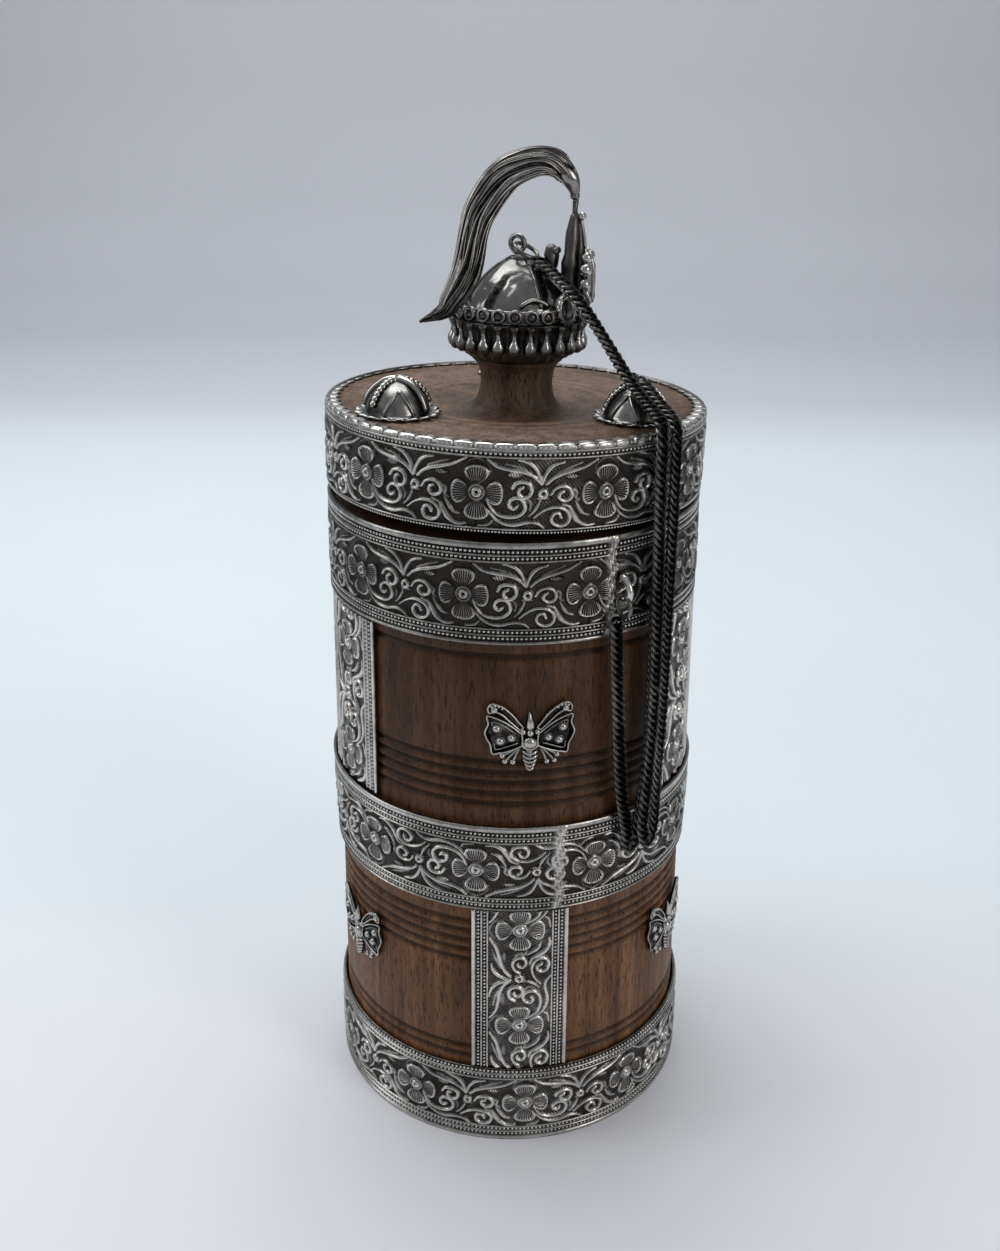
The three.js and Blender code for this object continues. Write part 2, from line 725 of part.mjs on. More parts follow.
// Chain: one run hangs from the crown's ring over the right boss and down the side in two loops,
// and a short run climbs from the second loop's foot to the ring at the eye. Heights from the mouth.
const lidRunPoints = [
  [4.9, -2.6, 43.4],
  [9.5, -8.7, 40],
  [12, -11.7, 37.5],
  [14.3, -13.5, 34.5],
  [18.3, -16.3, 28.7],
  [20.1, -18.2, 26],
  [21.7, -21, 23.9],
  [24.7, -28.2, 21.2],
  [25.7, -31.2, 19.9],
  [26, -32.6, 17],
  [26, -32.5, 12],
  [26.6, -31.9, -10],
  [27, -31.6, -27],
  [26.9, -31.9, -41],
  [26, -34.2, -56],
  [26, -34.4, -60.8],
  [27.1, -33.7, -63.2],
  [28.1, -31.8, -61.4],
  [28.8, -28.3, -52],
  [29.2, -27.2, -43],
  [29.3, -27, -15],
  [29.1, -26.8, 14],
  [28.9, -26.1, 17.8],
  [28.1, -23.6, 19.4],
  [25, -18.6, 21.8],
  [22.3, -14.4, 25.4],
  [20.8, -13, 25.5],
  [19.6, -14.4, 24.2],
  [20.2, -17.3, 22.4],
  [21.9, -20, 20.2],
  [26.1, -27.4, 18.8],
  [26.9, -28.9, 16.8],
  [26.8, -28.8, 12],
  [26.8, -28.7, -17],
  [26.8, -28.8, -44],
  [25.9, -31, -55],
  [25.1, -31.7, -60.4],
];
const eyeRunPoints = [
  [24.9, -31.9, -62.1],
  [24.4, -32.4, -64.3],
  [23.8, -32.9, -65.2],
  [23.1, -33.4, -63.8],
  [22.8, -33.5, -60.6],
  [21.4, -34.5, -51.4],
  [20, -34.5, -32],
  [19.1, -34.7, -16.4],
];
function routeOf(points) {
  const places = points.map(([x, y, z]) => new THREE.Vector3(x, y, vesselHeight + z));
  return new THREE.CatmullRomCurve3(places, false, "centripetal");
}
box.add(named("chain_lid_run", wireAlong(routeOf(lidRunPoints), chainRadius, 76), darkSilver));
box.add(named("chain_eye_run", wireAlong(routeOf(eyeRunPoints), chainRadius, 20), darkSilver));

export default box;
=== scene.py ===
"""Ceremonial ghee box: a turned wooden vessel and plug lid dressed in stamped silver, with a curb chain.

Millimetres throughout; MM turns them into the frame's metres. +Z is up and the front looks toward -Y.
An azimuth is measured in degrees from the front toward +X.
"""

import math

import bmesh
import bpy
import numpy as np
from mathutils import Matrix, Vector


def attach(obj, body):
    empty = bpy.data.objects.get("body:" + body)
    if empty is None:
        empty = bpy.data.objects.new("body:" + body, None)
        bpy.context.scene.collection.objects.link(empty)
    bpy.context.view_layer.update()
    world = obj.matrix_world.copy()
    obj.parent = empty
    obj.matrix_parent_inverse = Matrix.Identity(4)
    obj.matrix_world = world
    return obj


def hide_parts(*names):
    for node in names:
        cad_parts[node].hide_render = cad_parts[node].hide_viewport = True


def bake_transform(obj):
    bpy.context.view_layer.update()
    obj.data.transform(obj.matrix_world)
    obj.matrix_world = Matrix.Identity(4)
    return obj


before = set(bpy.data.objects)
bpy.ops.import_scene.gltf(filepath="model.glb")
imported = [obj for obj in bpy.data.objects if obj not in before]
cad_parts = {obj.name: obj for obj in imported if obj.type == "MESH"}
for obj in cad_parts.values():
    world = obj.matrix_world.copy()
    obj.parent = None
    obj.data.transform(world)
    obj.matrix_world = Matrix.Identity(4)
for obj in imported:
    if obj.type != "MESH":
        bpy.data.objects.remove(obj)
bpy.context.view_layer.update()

MM = 0.001
UP = Vector((0, 0, 1))
scene = bpy.context.scene
scene.view_settings.view_transform = "Standard"

fit_gap = 0.3  # between two pieces that touch
sheet_thickness = 0.5

# Vessel and lid
vessel_height = 135.0
foot_radius = 38.2
mouth_radius = 36.2
bore_radius = 30.0
floor_thickness = 10.0
mouth_low, mouth_high = 115.4, 135.0
waist_low, waist_high = 58.1, 77.4
foot_low, foot_high = 0.0, 18.6
groove_pitch = 2.3
lid_tilt = 1.4
lid_high_azimuth = -62.0
lid_band_radius = 37.2
lid_band_height = 16.1
lid_top = 15.4
plug_depth = 8.0
plug_clearance = 0.8
neck_top = 24.0
tenon_radius = 4.0
tenon_height = 8.0
crown_azimuth = 80.0


def turned(degrees, axis="Z"):
    return Matrix.Rotation(math.radians(degrees), 4, axis)


def axes(x, y, z):
    """Matrix that turns the three axes to x, y and z."""
    return Matrix((x, y, z)).transposed().to_4x4()


def around(radius, azimuth, z):
    turn = math.radians(azimuth)
    return Vector((radius * math.sin(turn), -radius * math.cos(turn), z))


def facing(radius, azimuth, z):
    """Matrix that puts +Z outward at a place on the round, with +Y up."""
    out = around(1, azimuth, 0)
    return Matrix.Translation(out * radius + UP * z) @ axes(UP.cross(out), UP, out)


# The lid's frame and the crown's frame, in millimetres
tilt = math.radians(lid_tilt)
tilt_axis = around(-1, lid_high_azimuth + 90, 0)
lid_rise = vessel_height + fit_gap + (lid_band_radius + 0.3) * math.sin(tilt)
lid_frame = Matrix.Translation((0, 0, lid_rise)) @ Matrix.Rotation(tilt, 4, tilt_axis)
crown_frame = lid_frame @ Matrix.Translation((0, 0, neck_top)) @ turned(crown_azimuth - 90)


def wood_radius(z):
    return foot_radius + (mouth_radius - foot_radius) * z / vessel_height


# Camera at the photograph's place
def place_camera():
    yaw, pitch, roll = (math.radians(angle) for angle in (-0.586, 23.12, 0.25))
    forward = Vector((math.sin(yaw) * math.cos(pitch), math.cos(yaw) * math.cos(pitch), -math.sin(pitch)))
    level = forward.cross(UP).normalized()
    upright = level.cross(forward)
    right = level * math.cos(roll) + upright * math.sin(roll)
    up = upright * math.cos(roll) - level * math.sin(roll)
    data = bpy.data.cameras.new("camera")
    data.sensor_fit = "HORIZONTAL"
    data.sensor_width = 36.0
    data.lens = 46.8
    data.clip_start = 0.01
    camera = bpy.data.objects.new("camera", data)
    camera.matrix_world = Matrix.Translation((0, -0.2533, 0.2115)) @ axes(right, up, -forward)
    scene.collection.objects.link(camera)
    scene.camera = camera


place_camera()


# Node materials
class Finish:
    """A material of nodes. Most of its methods add one node and give its output."""

    def __init__(self, name):
        self.material = bpy.data.materials.new(name)
        self.material.use_nodes = True
        self.tree = self.material.node_tree
        self.place = self.add("ShaderNodeTexCoord", "Object")

    def fill(self, node, values):
        for socket, value in dict(values).items():
            if isinstance(value, bpy.types.NodeSocket):
                self.tree.links.new(value, node.inputs[socket])
            else:
                node.inputs[socket].default_value = value

    def add(self, kind, output, values=(), **settings):
        node = self.tree.nodes.new(kind)
        for key, value in settings.items():
            setattr(node, key, value)
        self.fill(node, values)
        return node.outputs[output]

    def stretch(self, scale):
        return self.add("ShaderNodeMapping", "Vector", {"Vector": self.place, "Scale": scale})

    def noise(self, vector, scale, detail, roughness=0.5):
        values = {"Vector": vector, "Scale": scale, "Detail": detail, "Roughness": roughness}
        return self.add("ShaderNodeTexNoise", "Fac", values)

    def attribute(self, name):
        return self.add("ShaderNodeAttribute", "Fac", attribute_name=name)

    def axis(self, name):
        return self.add("ShaderNodeSeparateXYZ", name, {"Vector": self.place})

    def math(self, operation, *values):
        return self.add("ShaderNodeMath", 0, enumerate(values), operation=operation)

    def remap(self, value, low, high, start=0.0, end=1.0, kind="LINEAR"):
        values = {"Value": value, "From Min": start, "From Max": end, "To Min": low, "To Max": high}
        return self.add("ShaderNodeMapRange", "Result", values, interpolation_type=kind)

    def ramp(self, value, *stops):
        colour = self.add("ShaderNodeValToRGB", "Color", {"Fac": value})
        elements = colour.node.color_ramp.elements
        while len(elements) < len(stops):
            elements.new(0.5)
        for element, (place, shade) in zip(elements, stops):
            element.position = place
            element.color = (*shade, 1)
        return colour

    def mix(self, first, second, share=1.0, kind="MULTIPLY"):
        values = {0: share, 6: first, 7: second}
        return self.add("ShaderNodeMix", 2, values, data_type="RGBA", blend_type=kind)

    def bump(self, height, strength, distance, under=None):
        values = {"Height": height, "Strength": strength, "Distance": distance}
        if under is not None:
            values["Normal"] = under
        return self.add("ShaderNodeBump", "Normal", values)

    def done(self, values):
        """The material, with the shader's own sockets set."""
        self.fill(self.tree.nodes["Principled BSDF"], values)
        return self.material


def turned_wood(name, dark, mid, light, rough, shade_height=None):
    """Close-grained hardwood: upright streaks and short pores, darker in the grooves.

    Given a height in metres, the wood above it is painted darker, a painted shade as under the mouth band;
    without one turning rings show.
    """
    wood = Finish(name)
    streak = wood.noise(wood.stretch((1000, 1000, 42)), 0.32, 6.0, 0.62)
    pore = wood.noise(wood.stretch((1000, 1000, 150)), 2.3, 2.0, 0.6)
    cloud = wood.noise(wood.place, 60.0, 3.0)
    # with a height, painted shade darkens the wood above it; without one, turning rings, the wood's own tone
    if shade_height:
        wear = wood.remap(wood.axis("Z"), 1.0, 0.44, shade_height - 0.01, shade_height + 0.02)
    else:
        reach = wood.add("ShaderNodeVectorMath", "Value", {0: wood.stretch((1, 1, 0))}, operation="LENGTH")
        values = {"W": reach, "Scale": 700.0, "Detail": 3.0}
        ring = wood.add("ShaderNodeTexNoise", "Fac", values, noise_dimensions="1D")
        wear = wood.remap(ring, 0.72, 1.15, 0.3, 0.7)
    pores = wood.ramp(pore, (0.37, (0.16, 0.13, 0.12)), (0.45, (1, 1, 1)))
    stain = wood.ramp(cloud, (0.3, (0.7, 0.68, 0.68)), (0.66, (1.14, 1.12, 1.08)))
    # the grooves, and the lid's neck and dish, are painted darker from the hollow attribute
    hollow_darkening = wood.remap(wood.attribute("hollow"), 1.0, 0.38)
    colour = wood.mix(wood.ramp(streak, (0.3, dark), (0.5, mid), (0.72, light)), pores, 0.8)
    for shade in (stain, hollow_darkening, wear):
        colour = wood.mix(colour, shade)
    return wood.done({
        "Base Color": colour,
        "Specular IOR Level": 0.22,
        "Roughness": wood.remap(cloud, rough - 0.08, rough + 0.14),
        "Normal": wood.bump(pore, 0.35, 0.0001),
    })


hatch_pitch = 0.52  # millimetres between two cuts of the hatching


def worn_silver(name, bright, dark, rough, hatch=False, grain=700.0, dents=0.0):
    """Old silver: black in the hollows, bright where the relief attribute stands proud: rubbed, and on some pieces a
    painted highlight.
    """
    silver = Finish(name)
    speck = silver.noise(silver.place, grain, 5.0, 0.65)
    smoke = silver.noise(silver.place, 95.0, 3.0)
    height = silver.attribute("relief")
    for cloud, share in ((speck, 0.8), (smoke, 0.7)):
        height = silver.math("MULTIPLY_ADD", silver.math("SUBTRACT", cloud, 0.5), share, height)
    normal = silver.bump(speck, 0.3, 0.00008)
    if dents:
        normal = silver.bump(silver.noise(silver.place, 230.0, 2.0), dents, 0.0012, normal)
    if hatch:
        wave = silver.math("SINE", silver.math("MULTIPLY", silver.attribute("hatch_at"), math.tau / hatch_pitch))
        cuts = silver.math("MULTIPLY", wave, silver.attribute("hatch_share"))
        height = silver.math("MULTIPLY_ADD", cuts, 0.42, height)
        normal = silver.bump(cuts, 0.8, 0.00012, normal)
    middle = tuple(0.35 * a + 0.65 * b for a, b in zip(bright, dark))
    return silver.done({
        "Base Color": silver.ramp(height, (0.05, dark), (0.45, middle), (0.95, bright)),
        "Metallic": 1.0,
        "Roughness": silver.remap(height, rough + 0.22, rough),
        "Normal": normal,
    })


def polished_stone(name, colour, glow):
    """Small glassy stone, cloudy inside."""
    stone = Finish(name)
    cloud = stone.noise(stone.place, 900.0, 3.0)
    shade = stone.ramp(cloud, (0.35, colour), (0.7, glow))
    return stone.done({"Base Color": shade, "Roughness": 0.18, "Coat Weight": 0.6})


body_wood = turned_wood(
    "body_wood", (0.08, 0.031, 0.012), (0.16, 0.072, 0.029), (0.26, 0.13, 0.06), 0.46, shade_height=0.067
)
lid_wood_finish = turned_wood(
    "lid_wood_finish", (0.085, 0.054, 0.037), (0.18, 0.117, 0.08), (0.27, 0.184, 0.128), 0.5
)
stamped_silver = worn_silver("stamped_silver", (0.68, 0.655, 0.612), (0.04, 0.035, 0.03), 0.19, hatch=True)
beaded_silver = worn_silver("beaded_silver", (0.67, 0.65, 0.61), (0.05, 0.045, 0.04), 0.2)
cast_silver = worn_silver("cast_silver", (0.5, 0.485, 0.455), (0.026, 0.023, 0.021), 0.16)
dark_silver = worn_silver("dark_silver", (0.2, 0.19, 0.178), (0.014, 0.013, 0.012), 0.28)
# its dark colour is a painted reflection: it stands in for the dark room that the polished dome mirrors
polished_silver = worn_silver(
    "polished_silver", (0.29, 0.28, 0.265), (0.02, 0.019, 0.018), 0.15, grain=300.0, dents=0.32
)
plume_silver = worn_silver("plume_silver", (0.58, 0.555, 0.52), (0.016, 0.014, 0.012), 0.18, hatch=True)
# blackened silver: dark partly from its own oxide, partly as a painted reflection of a dark room
chain_silver = worn_silver("chain_silver", (0.34, 0.325, 0.3), (0.005, 0.005, 0.0045), 0.18)
jewel_finish = polished_stone("jewel_finish", (0.006, 0.005, 0.006), (0.03, 0.02, 0.02))
cabochon_finish = polished_stone("cabochon_finish", (0.015, 0.01, 0.009), (0.055, 0.034, 0.03))


# Lines
def run_along(line):
    """Length along the line up to each of its points."""
    return np.concatenate([[0], np.cumsum(np.linalg.norm(np.diff(line, axis=0), axis=1))])


def at_lengths(line, run, lengths):
    return np.stack([np.interp(lengths, run, column) for column in line.T], 1)


def smooth_line(points, per_step):
    """Catmull-Rom line through the points, per_step samples between each two."""
    p = np.array(points, float)
    p = np.vstack([2 * p[0] - p[1], p, 2 * p[-1] - p[-2]])
    line = []
    for a, b, c, d in zip(p, p[1:], p[2:], p[3:]):
        for t in np.arange(per_step) / per_step:
            bend = (2 * a - 5 * b + 4 * c - d) * t**2 + (3 * b - a - 3 * c + d) * t**3
            line.append(0.5 * (2 * b + (c - a) * t + bend))
    return np.array(line + [p[-2]])


def circle(centre, radius, count, first=(1, 0, 0), second=(0, 1, 0)):
    """Points round a circle about centre, in the plane of the two directions."""
    centre, first, second = Vector(centre), Vector(first), Vector(second)
    turns = np.linspace(0, math.tau, count, endpoint=False)
    return [centre + first * radius * math.cos(t) + second * radius * math.sin(t) for t in turns]


def moved(points, matrix):
    """An array of points, each through the matrix."""
    matrix = np.array(matrix)
    return points @ matrix[:3, :3].T + matrix[:3, 3]


def wrapped(radius, turn, z):
    """Places on the round, from arrays of radii, azimuths in radians and heights."""
    return np.stack([radius * np.sin(turn), -radius * np.cos(turn), z], 1)


def signed_turn(degrees):
    """The angle, or array of angles, brought between -180 and 180 degrees."""
    return (degrees + 180) % 360 - 180


# Meshes
def set_attribute(mesh, name, values):
    attribute = mesh.attributes.get(name) or mesh.attributes.new(name, "FLOAT", "POINT")
    attribute.data.foreach_set("value", np.asarray(values, np.float32))


def corners(mesh):
    place = np.empty(len(mesh.vertices) * 3)
    mesh.vertices.foreach_get("co", place)
    return place.reshape(-1, 3)


def set_corners(mesh, place):
    """Moves the mesh's corners to places given in millimetres."""
    mesh.vertices.foreach_set("co", (place * MM).ravel())
    mesh.update()


def mesh_of(bm, name):
    mesh = bpy.data.meshes.new(name)
    bm.to_mesh(mesh)
    bm.free()
    return mesh


def piece(name, mesh, material, body, nodes=(), relief=0.75):
    """Puts a finished mesh, already in metres and in place, on its body."""
    mesh.name = name
    mesh.materials.clear()
    mesh.materials.append(material)
    mesh.shade_smooth()
    if "relief" not in mesh.attributes:
        set_attribute(mesh, "relief", np.full(len(mesh.vertices), relief))
    obj = bpy.data.objects.new(name, mesh)
    scene.collection.objects.link(obj)
    if body:
        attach(obj, body)
    if nodes:
        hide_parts(*nodes)
    return obj


def verts_in(geom):
    return [g for g in geom if isinstance(g, bmesh.types.BMVert)]


def edges_in(geom):
    return [g for g in geom if isinstance(g, bmesh.types.BMEdge)]


def whole(bm):
    return bm.verts[:] + bm.edges[:] + bm.faces[:]


def outline(bm, points):
    """A chain of edges through the points."""
    verts = [bm.verts.new(p) for p in points]
    return verts + [bm.edges.new(pair) for pair in zip(verts, verts[1:])]


def turn_profile(bm, profile, steps=96, place=None):
    """Spins [radius, height] pairs about +Z; place is a matrix for the result."""
    before = set(bm.verts)
    geom = outline(bm, [(r, 0, z) for r, z in profile])
    bmesh.ops.spin(bm, geom=geom, cent=(0, 0, 0), axis=UP, angle=math.tau, steps=steps, use_merge=True)
    made = [v for v in bm.verts if v not in before]
    bmesh.ops.remove_doubles(bm, verts=made, dist=1e-5)
    made = [v for v in bm.verts if v not in before]
    bmesh.ops.recalc_face_normals(bm, faces=list({f for v in made for f in v.link_faces}))
    if place is not None:
        bmesh.ops.transform(bm, matrix=place, verts=made)
    return made


def metres(bm, place=Matrix.Identity(4)):
    """Applies place, in millimetres, to the whole of bm and turns it into metres."""
    bmesh.ops.transform(bm, matrix=Matrix.Scale(MM, 4) @ place, verts=bm.verts)


def copies(mesh, places):
    """A bmesh with one copy of the mesh on each matrix; the mesh itself goes."""
    bm = bmesh.new()
    for place in places:
        before = len(bm.verts)
        bm.from_mesh(mesh)
        bm.verts.ensure_lookup_table()
        bmesh.ops.transform(bm, matrix=place, verts=bm.verts[before:])
    bpy.data.meshes.remove(mesh)
    return bm


def stack(bm, places, sides=8, closed=False):
    """A skin over circles of radius 1, one for each matrix, with its two ends filled unless it is closed."""
    skin = bmesh.new()
    bmesh.ops.create_circle(skin, cap_ends=not closed, segments=sides, radius=1, matrix=places[0])
    first = loop = skin.edges[:]
    for before, after in zip(places, places[1:]):
        grown = bmesh.ops.extrude_edge_only(skin, edges=loop)["geom"]
        loop = edges_in(grown)
        bmesh.ops.transform(skin, matrix=after @ before.inverted(), verts=verts_in(grown))
    if closed:
        bmesh.ops.bridge_loops(skin, edges=first + loop)
    else:
        bmesh.ops.contextual_create(skin, geom=loop)
    bmesh.ops.recalc_face_normals(skin, faces=skin.faces)
    mesh = mesh_of(skin, "skin")
    bm.from_mesh(mesh)
    bpy.data.meshes.remove(mesh)


def wire(bm, points, radii, sides=6, closed=False):
    """A wire through the points; radii is one number or one for each point."""
    points = [Vector(p) for p in points]
    count = len(points)
    radii = radii if hasattr(radii, "__len__") else [radii] * count
    places = []
    for i, (p, r) in enumerate(zip(points, radii)):
        ahead = points[(i + 1) % count] if closed or i + 1 < count else p
        behind = points[i - 1] if closed or i else p
        along = (ahead - behind).normalized()
        if i == 0:
            normal = along.orthogonal().normalized()
        normal = (normal - along * normal.dot(along)).normalized()
        turn = axes(normal, along.cross(normal), along)
        places.append(Matrix.Translation(p) @ turn @ Matrix.Diagonal((r, r, 1, 1)))
    stack(bm, places, sides, closed)


def smooth_wire(bm, points, per_step, radii, sides=6):
    wire(bm, smooth_line(points, per_step), radii, sides)


def ball(bm, centre, radius, squash=1.0, steps=8):
    half = [(0, -1), (0.5, -0.87), (0.87, -0.5), (1, 0), (0.87, 0.5), (0.5, 0.87), (0, 1)]
    profile = [(radius * r, radius * squash * z) for r, z in half]
    turn_profile(bm, profile, steps, Matrix.Translation(centre))


# The chain's route in metres: from the crown's ring over the right boss and down the side in two
# loops, and from the second loop's foot up to the ring at the eye
lid_run = [
    (0.0049, -0.0026, 0.1784), (0.0095, -0.0087, 0.175), (0.012, -0.0117, 0.1725), (0.0143, -0.0135, 0.1695),
    (0.0183, -0.0163, 0.1637), (0.0201, -0.0182, 0.161), (0.0217, -0.021, 0.1589), (0.0247, -0.0282, 0.1562),
    (0.0257, -0.0312, 0.1549), (0.026, -0.0326, 0.152), (0.026, -0.0325, 0.147), (0.0266, -0.0319, 0.125),
    (0.027, -0.0316, 0.108), (0.0269, -0.0319, 0.094), (0.026, -0.0342, 0.079), (0.026, -0.0344, 0.0742),
    (0.0271, -0.0337, 0.0718), (0.0281, -0.0318, 0.0736), (0.0288, -0.0283, 0.083), (0.0292, -0.0272, 0.092),
    (0.0293, -0.027, 0.12), (0.0291, -0.0268, 0.149), (0.0289, -0.0261, 0.1528), (0.0281, -0.0238, 0.1546),
    (0.0257, -0.0195, 0.1568), (0.024, -0.0167, 0.1586), (0.0226, -0.0154, 0.1594), (0.0216, -0.0161, 0.1595),
    (0.0223, -0.0183, 0.1581), (0.0243, -0.022, 0.1558), (0.0262, -0.0272, 0.1539), (0.0269, -0.0289, 0.1518),
    (0.0268, -0.0288, 0.147), (0.0268, -0.0287, 0.118), (0.0268, -0.0288, 0.091), (0.0259, -0.031, 0.08),
    (0.0251, -0.0317, 0.0746),
]
eye_run = [
    (0.0249, -0.0319, 0.0729), (0.0244, -0.0324, 0.0707), (0.0238, -0.0329, 0.0698), (0.0231, -0.0334, 0.0712),
    (0.0228, -0.0335, 0.0744), (0.0214, -0.0345, 0.0836), (0.02, -0.0345, 0.103), (0.0191, -0.0347, 0.1186),
]
link_wire = 0.42  # half the wire's thickness
link_pitch = 1.42
link_half_length = 1.26
link_half_width = 1.08
link_twist = math.radians(-50)
last_fall = 83.74  # length of chain from its turn behind the main strand to the end of lid_run
lid_top_height = 148  # above it the chain's links turn from the box's side to its top


def route(points, spacing):
    """Evenly spaced places along a centripetal curve through the points, in millimetres, and its length."""
    p = np.array(points) / MM
    p = np.vstack([2 * p[0] - p[1], p, 2 * p[-1] - p[-2]])
    line = []
    for a, b, c, d in zip(p, p[1:], p[2:], p[3:]):
        ta, tb, tc = (max(np.linalg.norm(y - x) ** 0.5, 1e-4) for x, y in ((a, b), (b, c), (c, d)))
        m1 = ((b - a) / ta - (c - a) / (ta + tb) + (c - b) / tb) * tb
        m2 = ((c - b) / tb - (d - b) / (tb + tc) + (d - c) / tc) * tb
        for t in np.arange(24) / 24:
            bend = (-3 * b + 3 * c - 2 * m1 - m2) * t**2 + (2 * b - 2 * c + m1 + m2) * t**3
            line.append(b + m1 * t + bend)
    line = np.array(line + [p[-2]])
    run = run_along(line)
    count = int(round(run[-1] / spacing))
    return at_lengths(line, run, np.linspace(0, run[-1], count + 1)), run[-1]


def chain_link():
    """One oval link, twisted so that its two ends cross its neighbours squarely."""
    bm = bmesh.new()
    start = Matrix.Translation((1, 0, 0)) @ turned(90, "X")
    bmesh.ops.create_circle(bm, segments=5, radius=link_wire, matrix=start)
    geom = bm.verts[:] + bm.edges[:]
    bmesh.ops.spin(bm, geom=geom, cent=(0, 0, 0), axis=UP, angle=math.tau, steps=12, use_merge=True)
    bmesh.ops.remove_doubles(bm, verts=bm.verts, dist=1e-5)
    for v in bm.verts:
        turn = math.atan2(v.co.y, v.co.x)
        out = math.hypot(v.co.x, v.co.y) - 1
        y = (link_half_width + out) * math.sin(turn)
        twist = link_twist * math.cos(turn)
        v.co = (
            (link_half_length + out) * math.cos(turn),
            y * math.cos(twist) - v.co.z * math.sin(twist),
            y * math.sin(twist) + v.co.z * math.cos(twist),
        )
    bmesh.ops.recalc_face_normals(bm, faces=bm.faces)
    return mesh_of(bm, "chain_link")


def chain_piece(name, places, first, last, body=None, nodes=()):
    """The links first to last along places, black near the chain's middle and rubbed on the outside."""
    link = chain_link()
    reach = np.hypot(corners(link)[:, 1], corners(link)[:, 2])
    rubbed = np.interp(reach, [0.75, 1.2, 1.5], [0.0, 0.2, 0.85])
    links = []
    for i in range(first, last):
        here = Vector(places[i])
        along = Vector(places[min(i + 1, len(places) - 1)] - places[max(i - 1, 0)]).normalized()
        lift = 2 * max(0.0, min(1.0, (here.z - lid_top_height) / 10))
        face = Vector((here.x, here.y, 0)).normalized() + UP * lift
        face = (face - along * face.dot(along)).normalized()
        links.append(Matrix.Translation(here) @ axes(along, face.cross(along), face))
    bm = copies(link, links)
    metres(bm)
    mesh = mesh_of(bm, name)
    set_attribute(mesh, "relief", np.tile(rubbed, len(links)))
    obj = piece(name, mesh, chain_silver, body, nodes)
    return obj, [Vector(p) * MM for p in places[first:last]]


def chains():
    upper, upper_length = route(lid_run, link_pitch)
    lower, _ = route(eye_run, link_pitch)
    hairpin = int(round((1 - last_fall / upper_length) * len(upper)))
    crown_run, path = chain_piece("chain_from_crown", upper, 0, hairpin, "lid", ["chain_lid_run"])
    back_run, path = chain_piece("chain_behind", upper, hairpin, len(upper))
    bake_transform(back_run)
    eye_chain, path = chain_piece("chain_to_eye", lower, 0, len(lower), "vessel", ["chain_eye_run"])


chains()


# Turned wood
def groove(z):
    """Round-bottomed groove about height z, from below."""
    half = [(0, 0.6), (0.25, 0.5), (0.5, 0.24), (0.8, 0.06), (1.08, 0)]
    shape = [(-dz, cut) for dz, cut in half[:0:-1]] + half
    return [(wood_radius(z + dz) - cut, z + dz) for dz, cut in shape]


def vessel_wood():
    rim = vessel_height - 0.6
    profile = [(0, 0), (foot_radius - 0.5, 0), (foot_radius, 0.5)]
    for lowest, count in ((foot_high + 2, 2), (waist_low - 13.1, 5), (waist_high + 4.2, 5), (mouth_low - 2.8, 1)):
        for i in range(count):
            profile += groove(lowest + i * groove_pitch)
    profile += [(wood_radius(rim), rim - 0.4), (wood_radius(rim) - 0.4, rim)]
    profile += [(bore_radius + 0.4, rim), (bore_radius, rim - 0.4)]
    profile += [(bore_radius, floor_thickness + 2), (bore_radius - 2, floor_thickness), (0, floor_thickness)]
    bm = bmesh.new()
    turn_profile(bm, profile, 160)
    metres(bm)
    mesh = mesh_of(bm, "vessel_wood")
    place = corners(mesh) / MM
    depth = wood_radius(place[:, 2]) - np.hypot(place[:, 0], place[:, 1])
    set_attribute(mesh, "hollow", np.where(depth < 1, np.clip(depth / 0.5, 0, 1), 0))
    piece("vessel_wood", mesh, body_wood, "vessel", ["vessel_body"])


def lid_wood():
    outer = lid_band_radius - 0.9
    plug = bore_radius - plug_clearance
    profile = [(0, -plug_depth), (plug - 1, -plug_depth), (plug, 1 - plug_depth), (plug, 0), (outer, 0)]
    profile += [(outer, lid_top), (18.5, lid_top), (17.6, 15.2), (16, 14.75), (13.6, 14.3), (11.5, 14.2)]
    profile += [(9.6, 14.35), (8.6, 14.9), (7.75, 15.9), (7.3, 17.2), (7.05, 18.6), (7.02, 20), (7.15, 21.2)]
    profile += [(7.5, 22.4), (8.1, 23.3), (8.8, 23.9), (8.8, neck_top), (tenon_radius, neck_top)]
    profile += [(tenon_radius, neck_top + tenon_height), (0, neck_top + tenon_height)]
    bm = bmesh.new()
    turn_profile(bm, profile, 128)
    metres(bm, lid_frame)
    mesh = mesh_of(bm, "lid_disc")
    reach = np.linalg.norm(corners(mesh)[:, :2], axis=1) / MM
    # the neck and the dish round it are painted darker
    set_attribute(mesh, "hollow", np.interp(reach, [7, 9, 13, 17, 18.5], [0.35, 0.4, 0.2, 0.25, 0]))
    piece("lid_disc", mesh, lid_wood_finish, "lid", ["lid_wood"])


vessel_wood()
lid_wood()

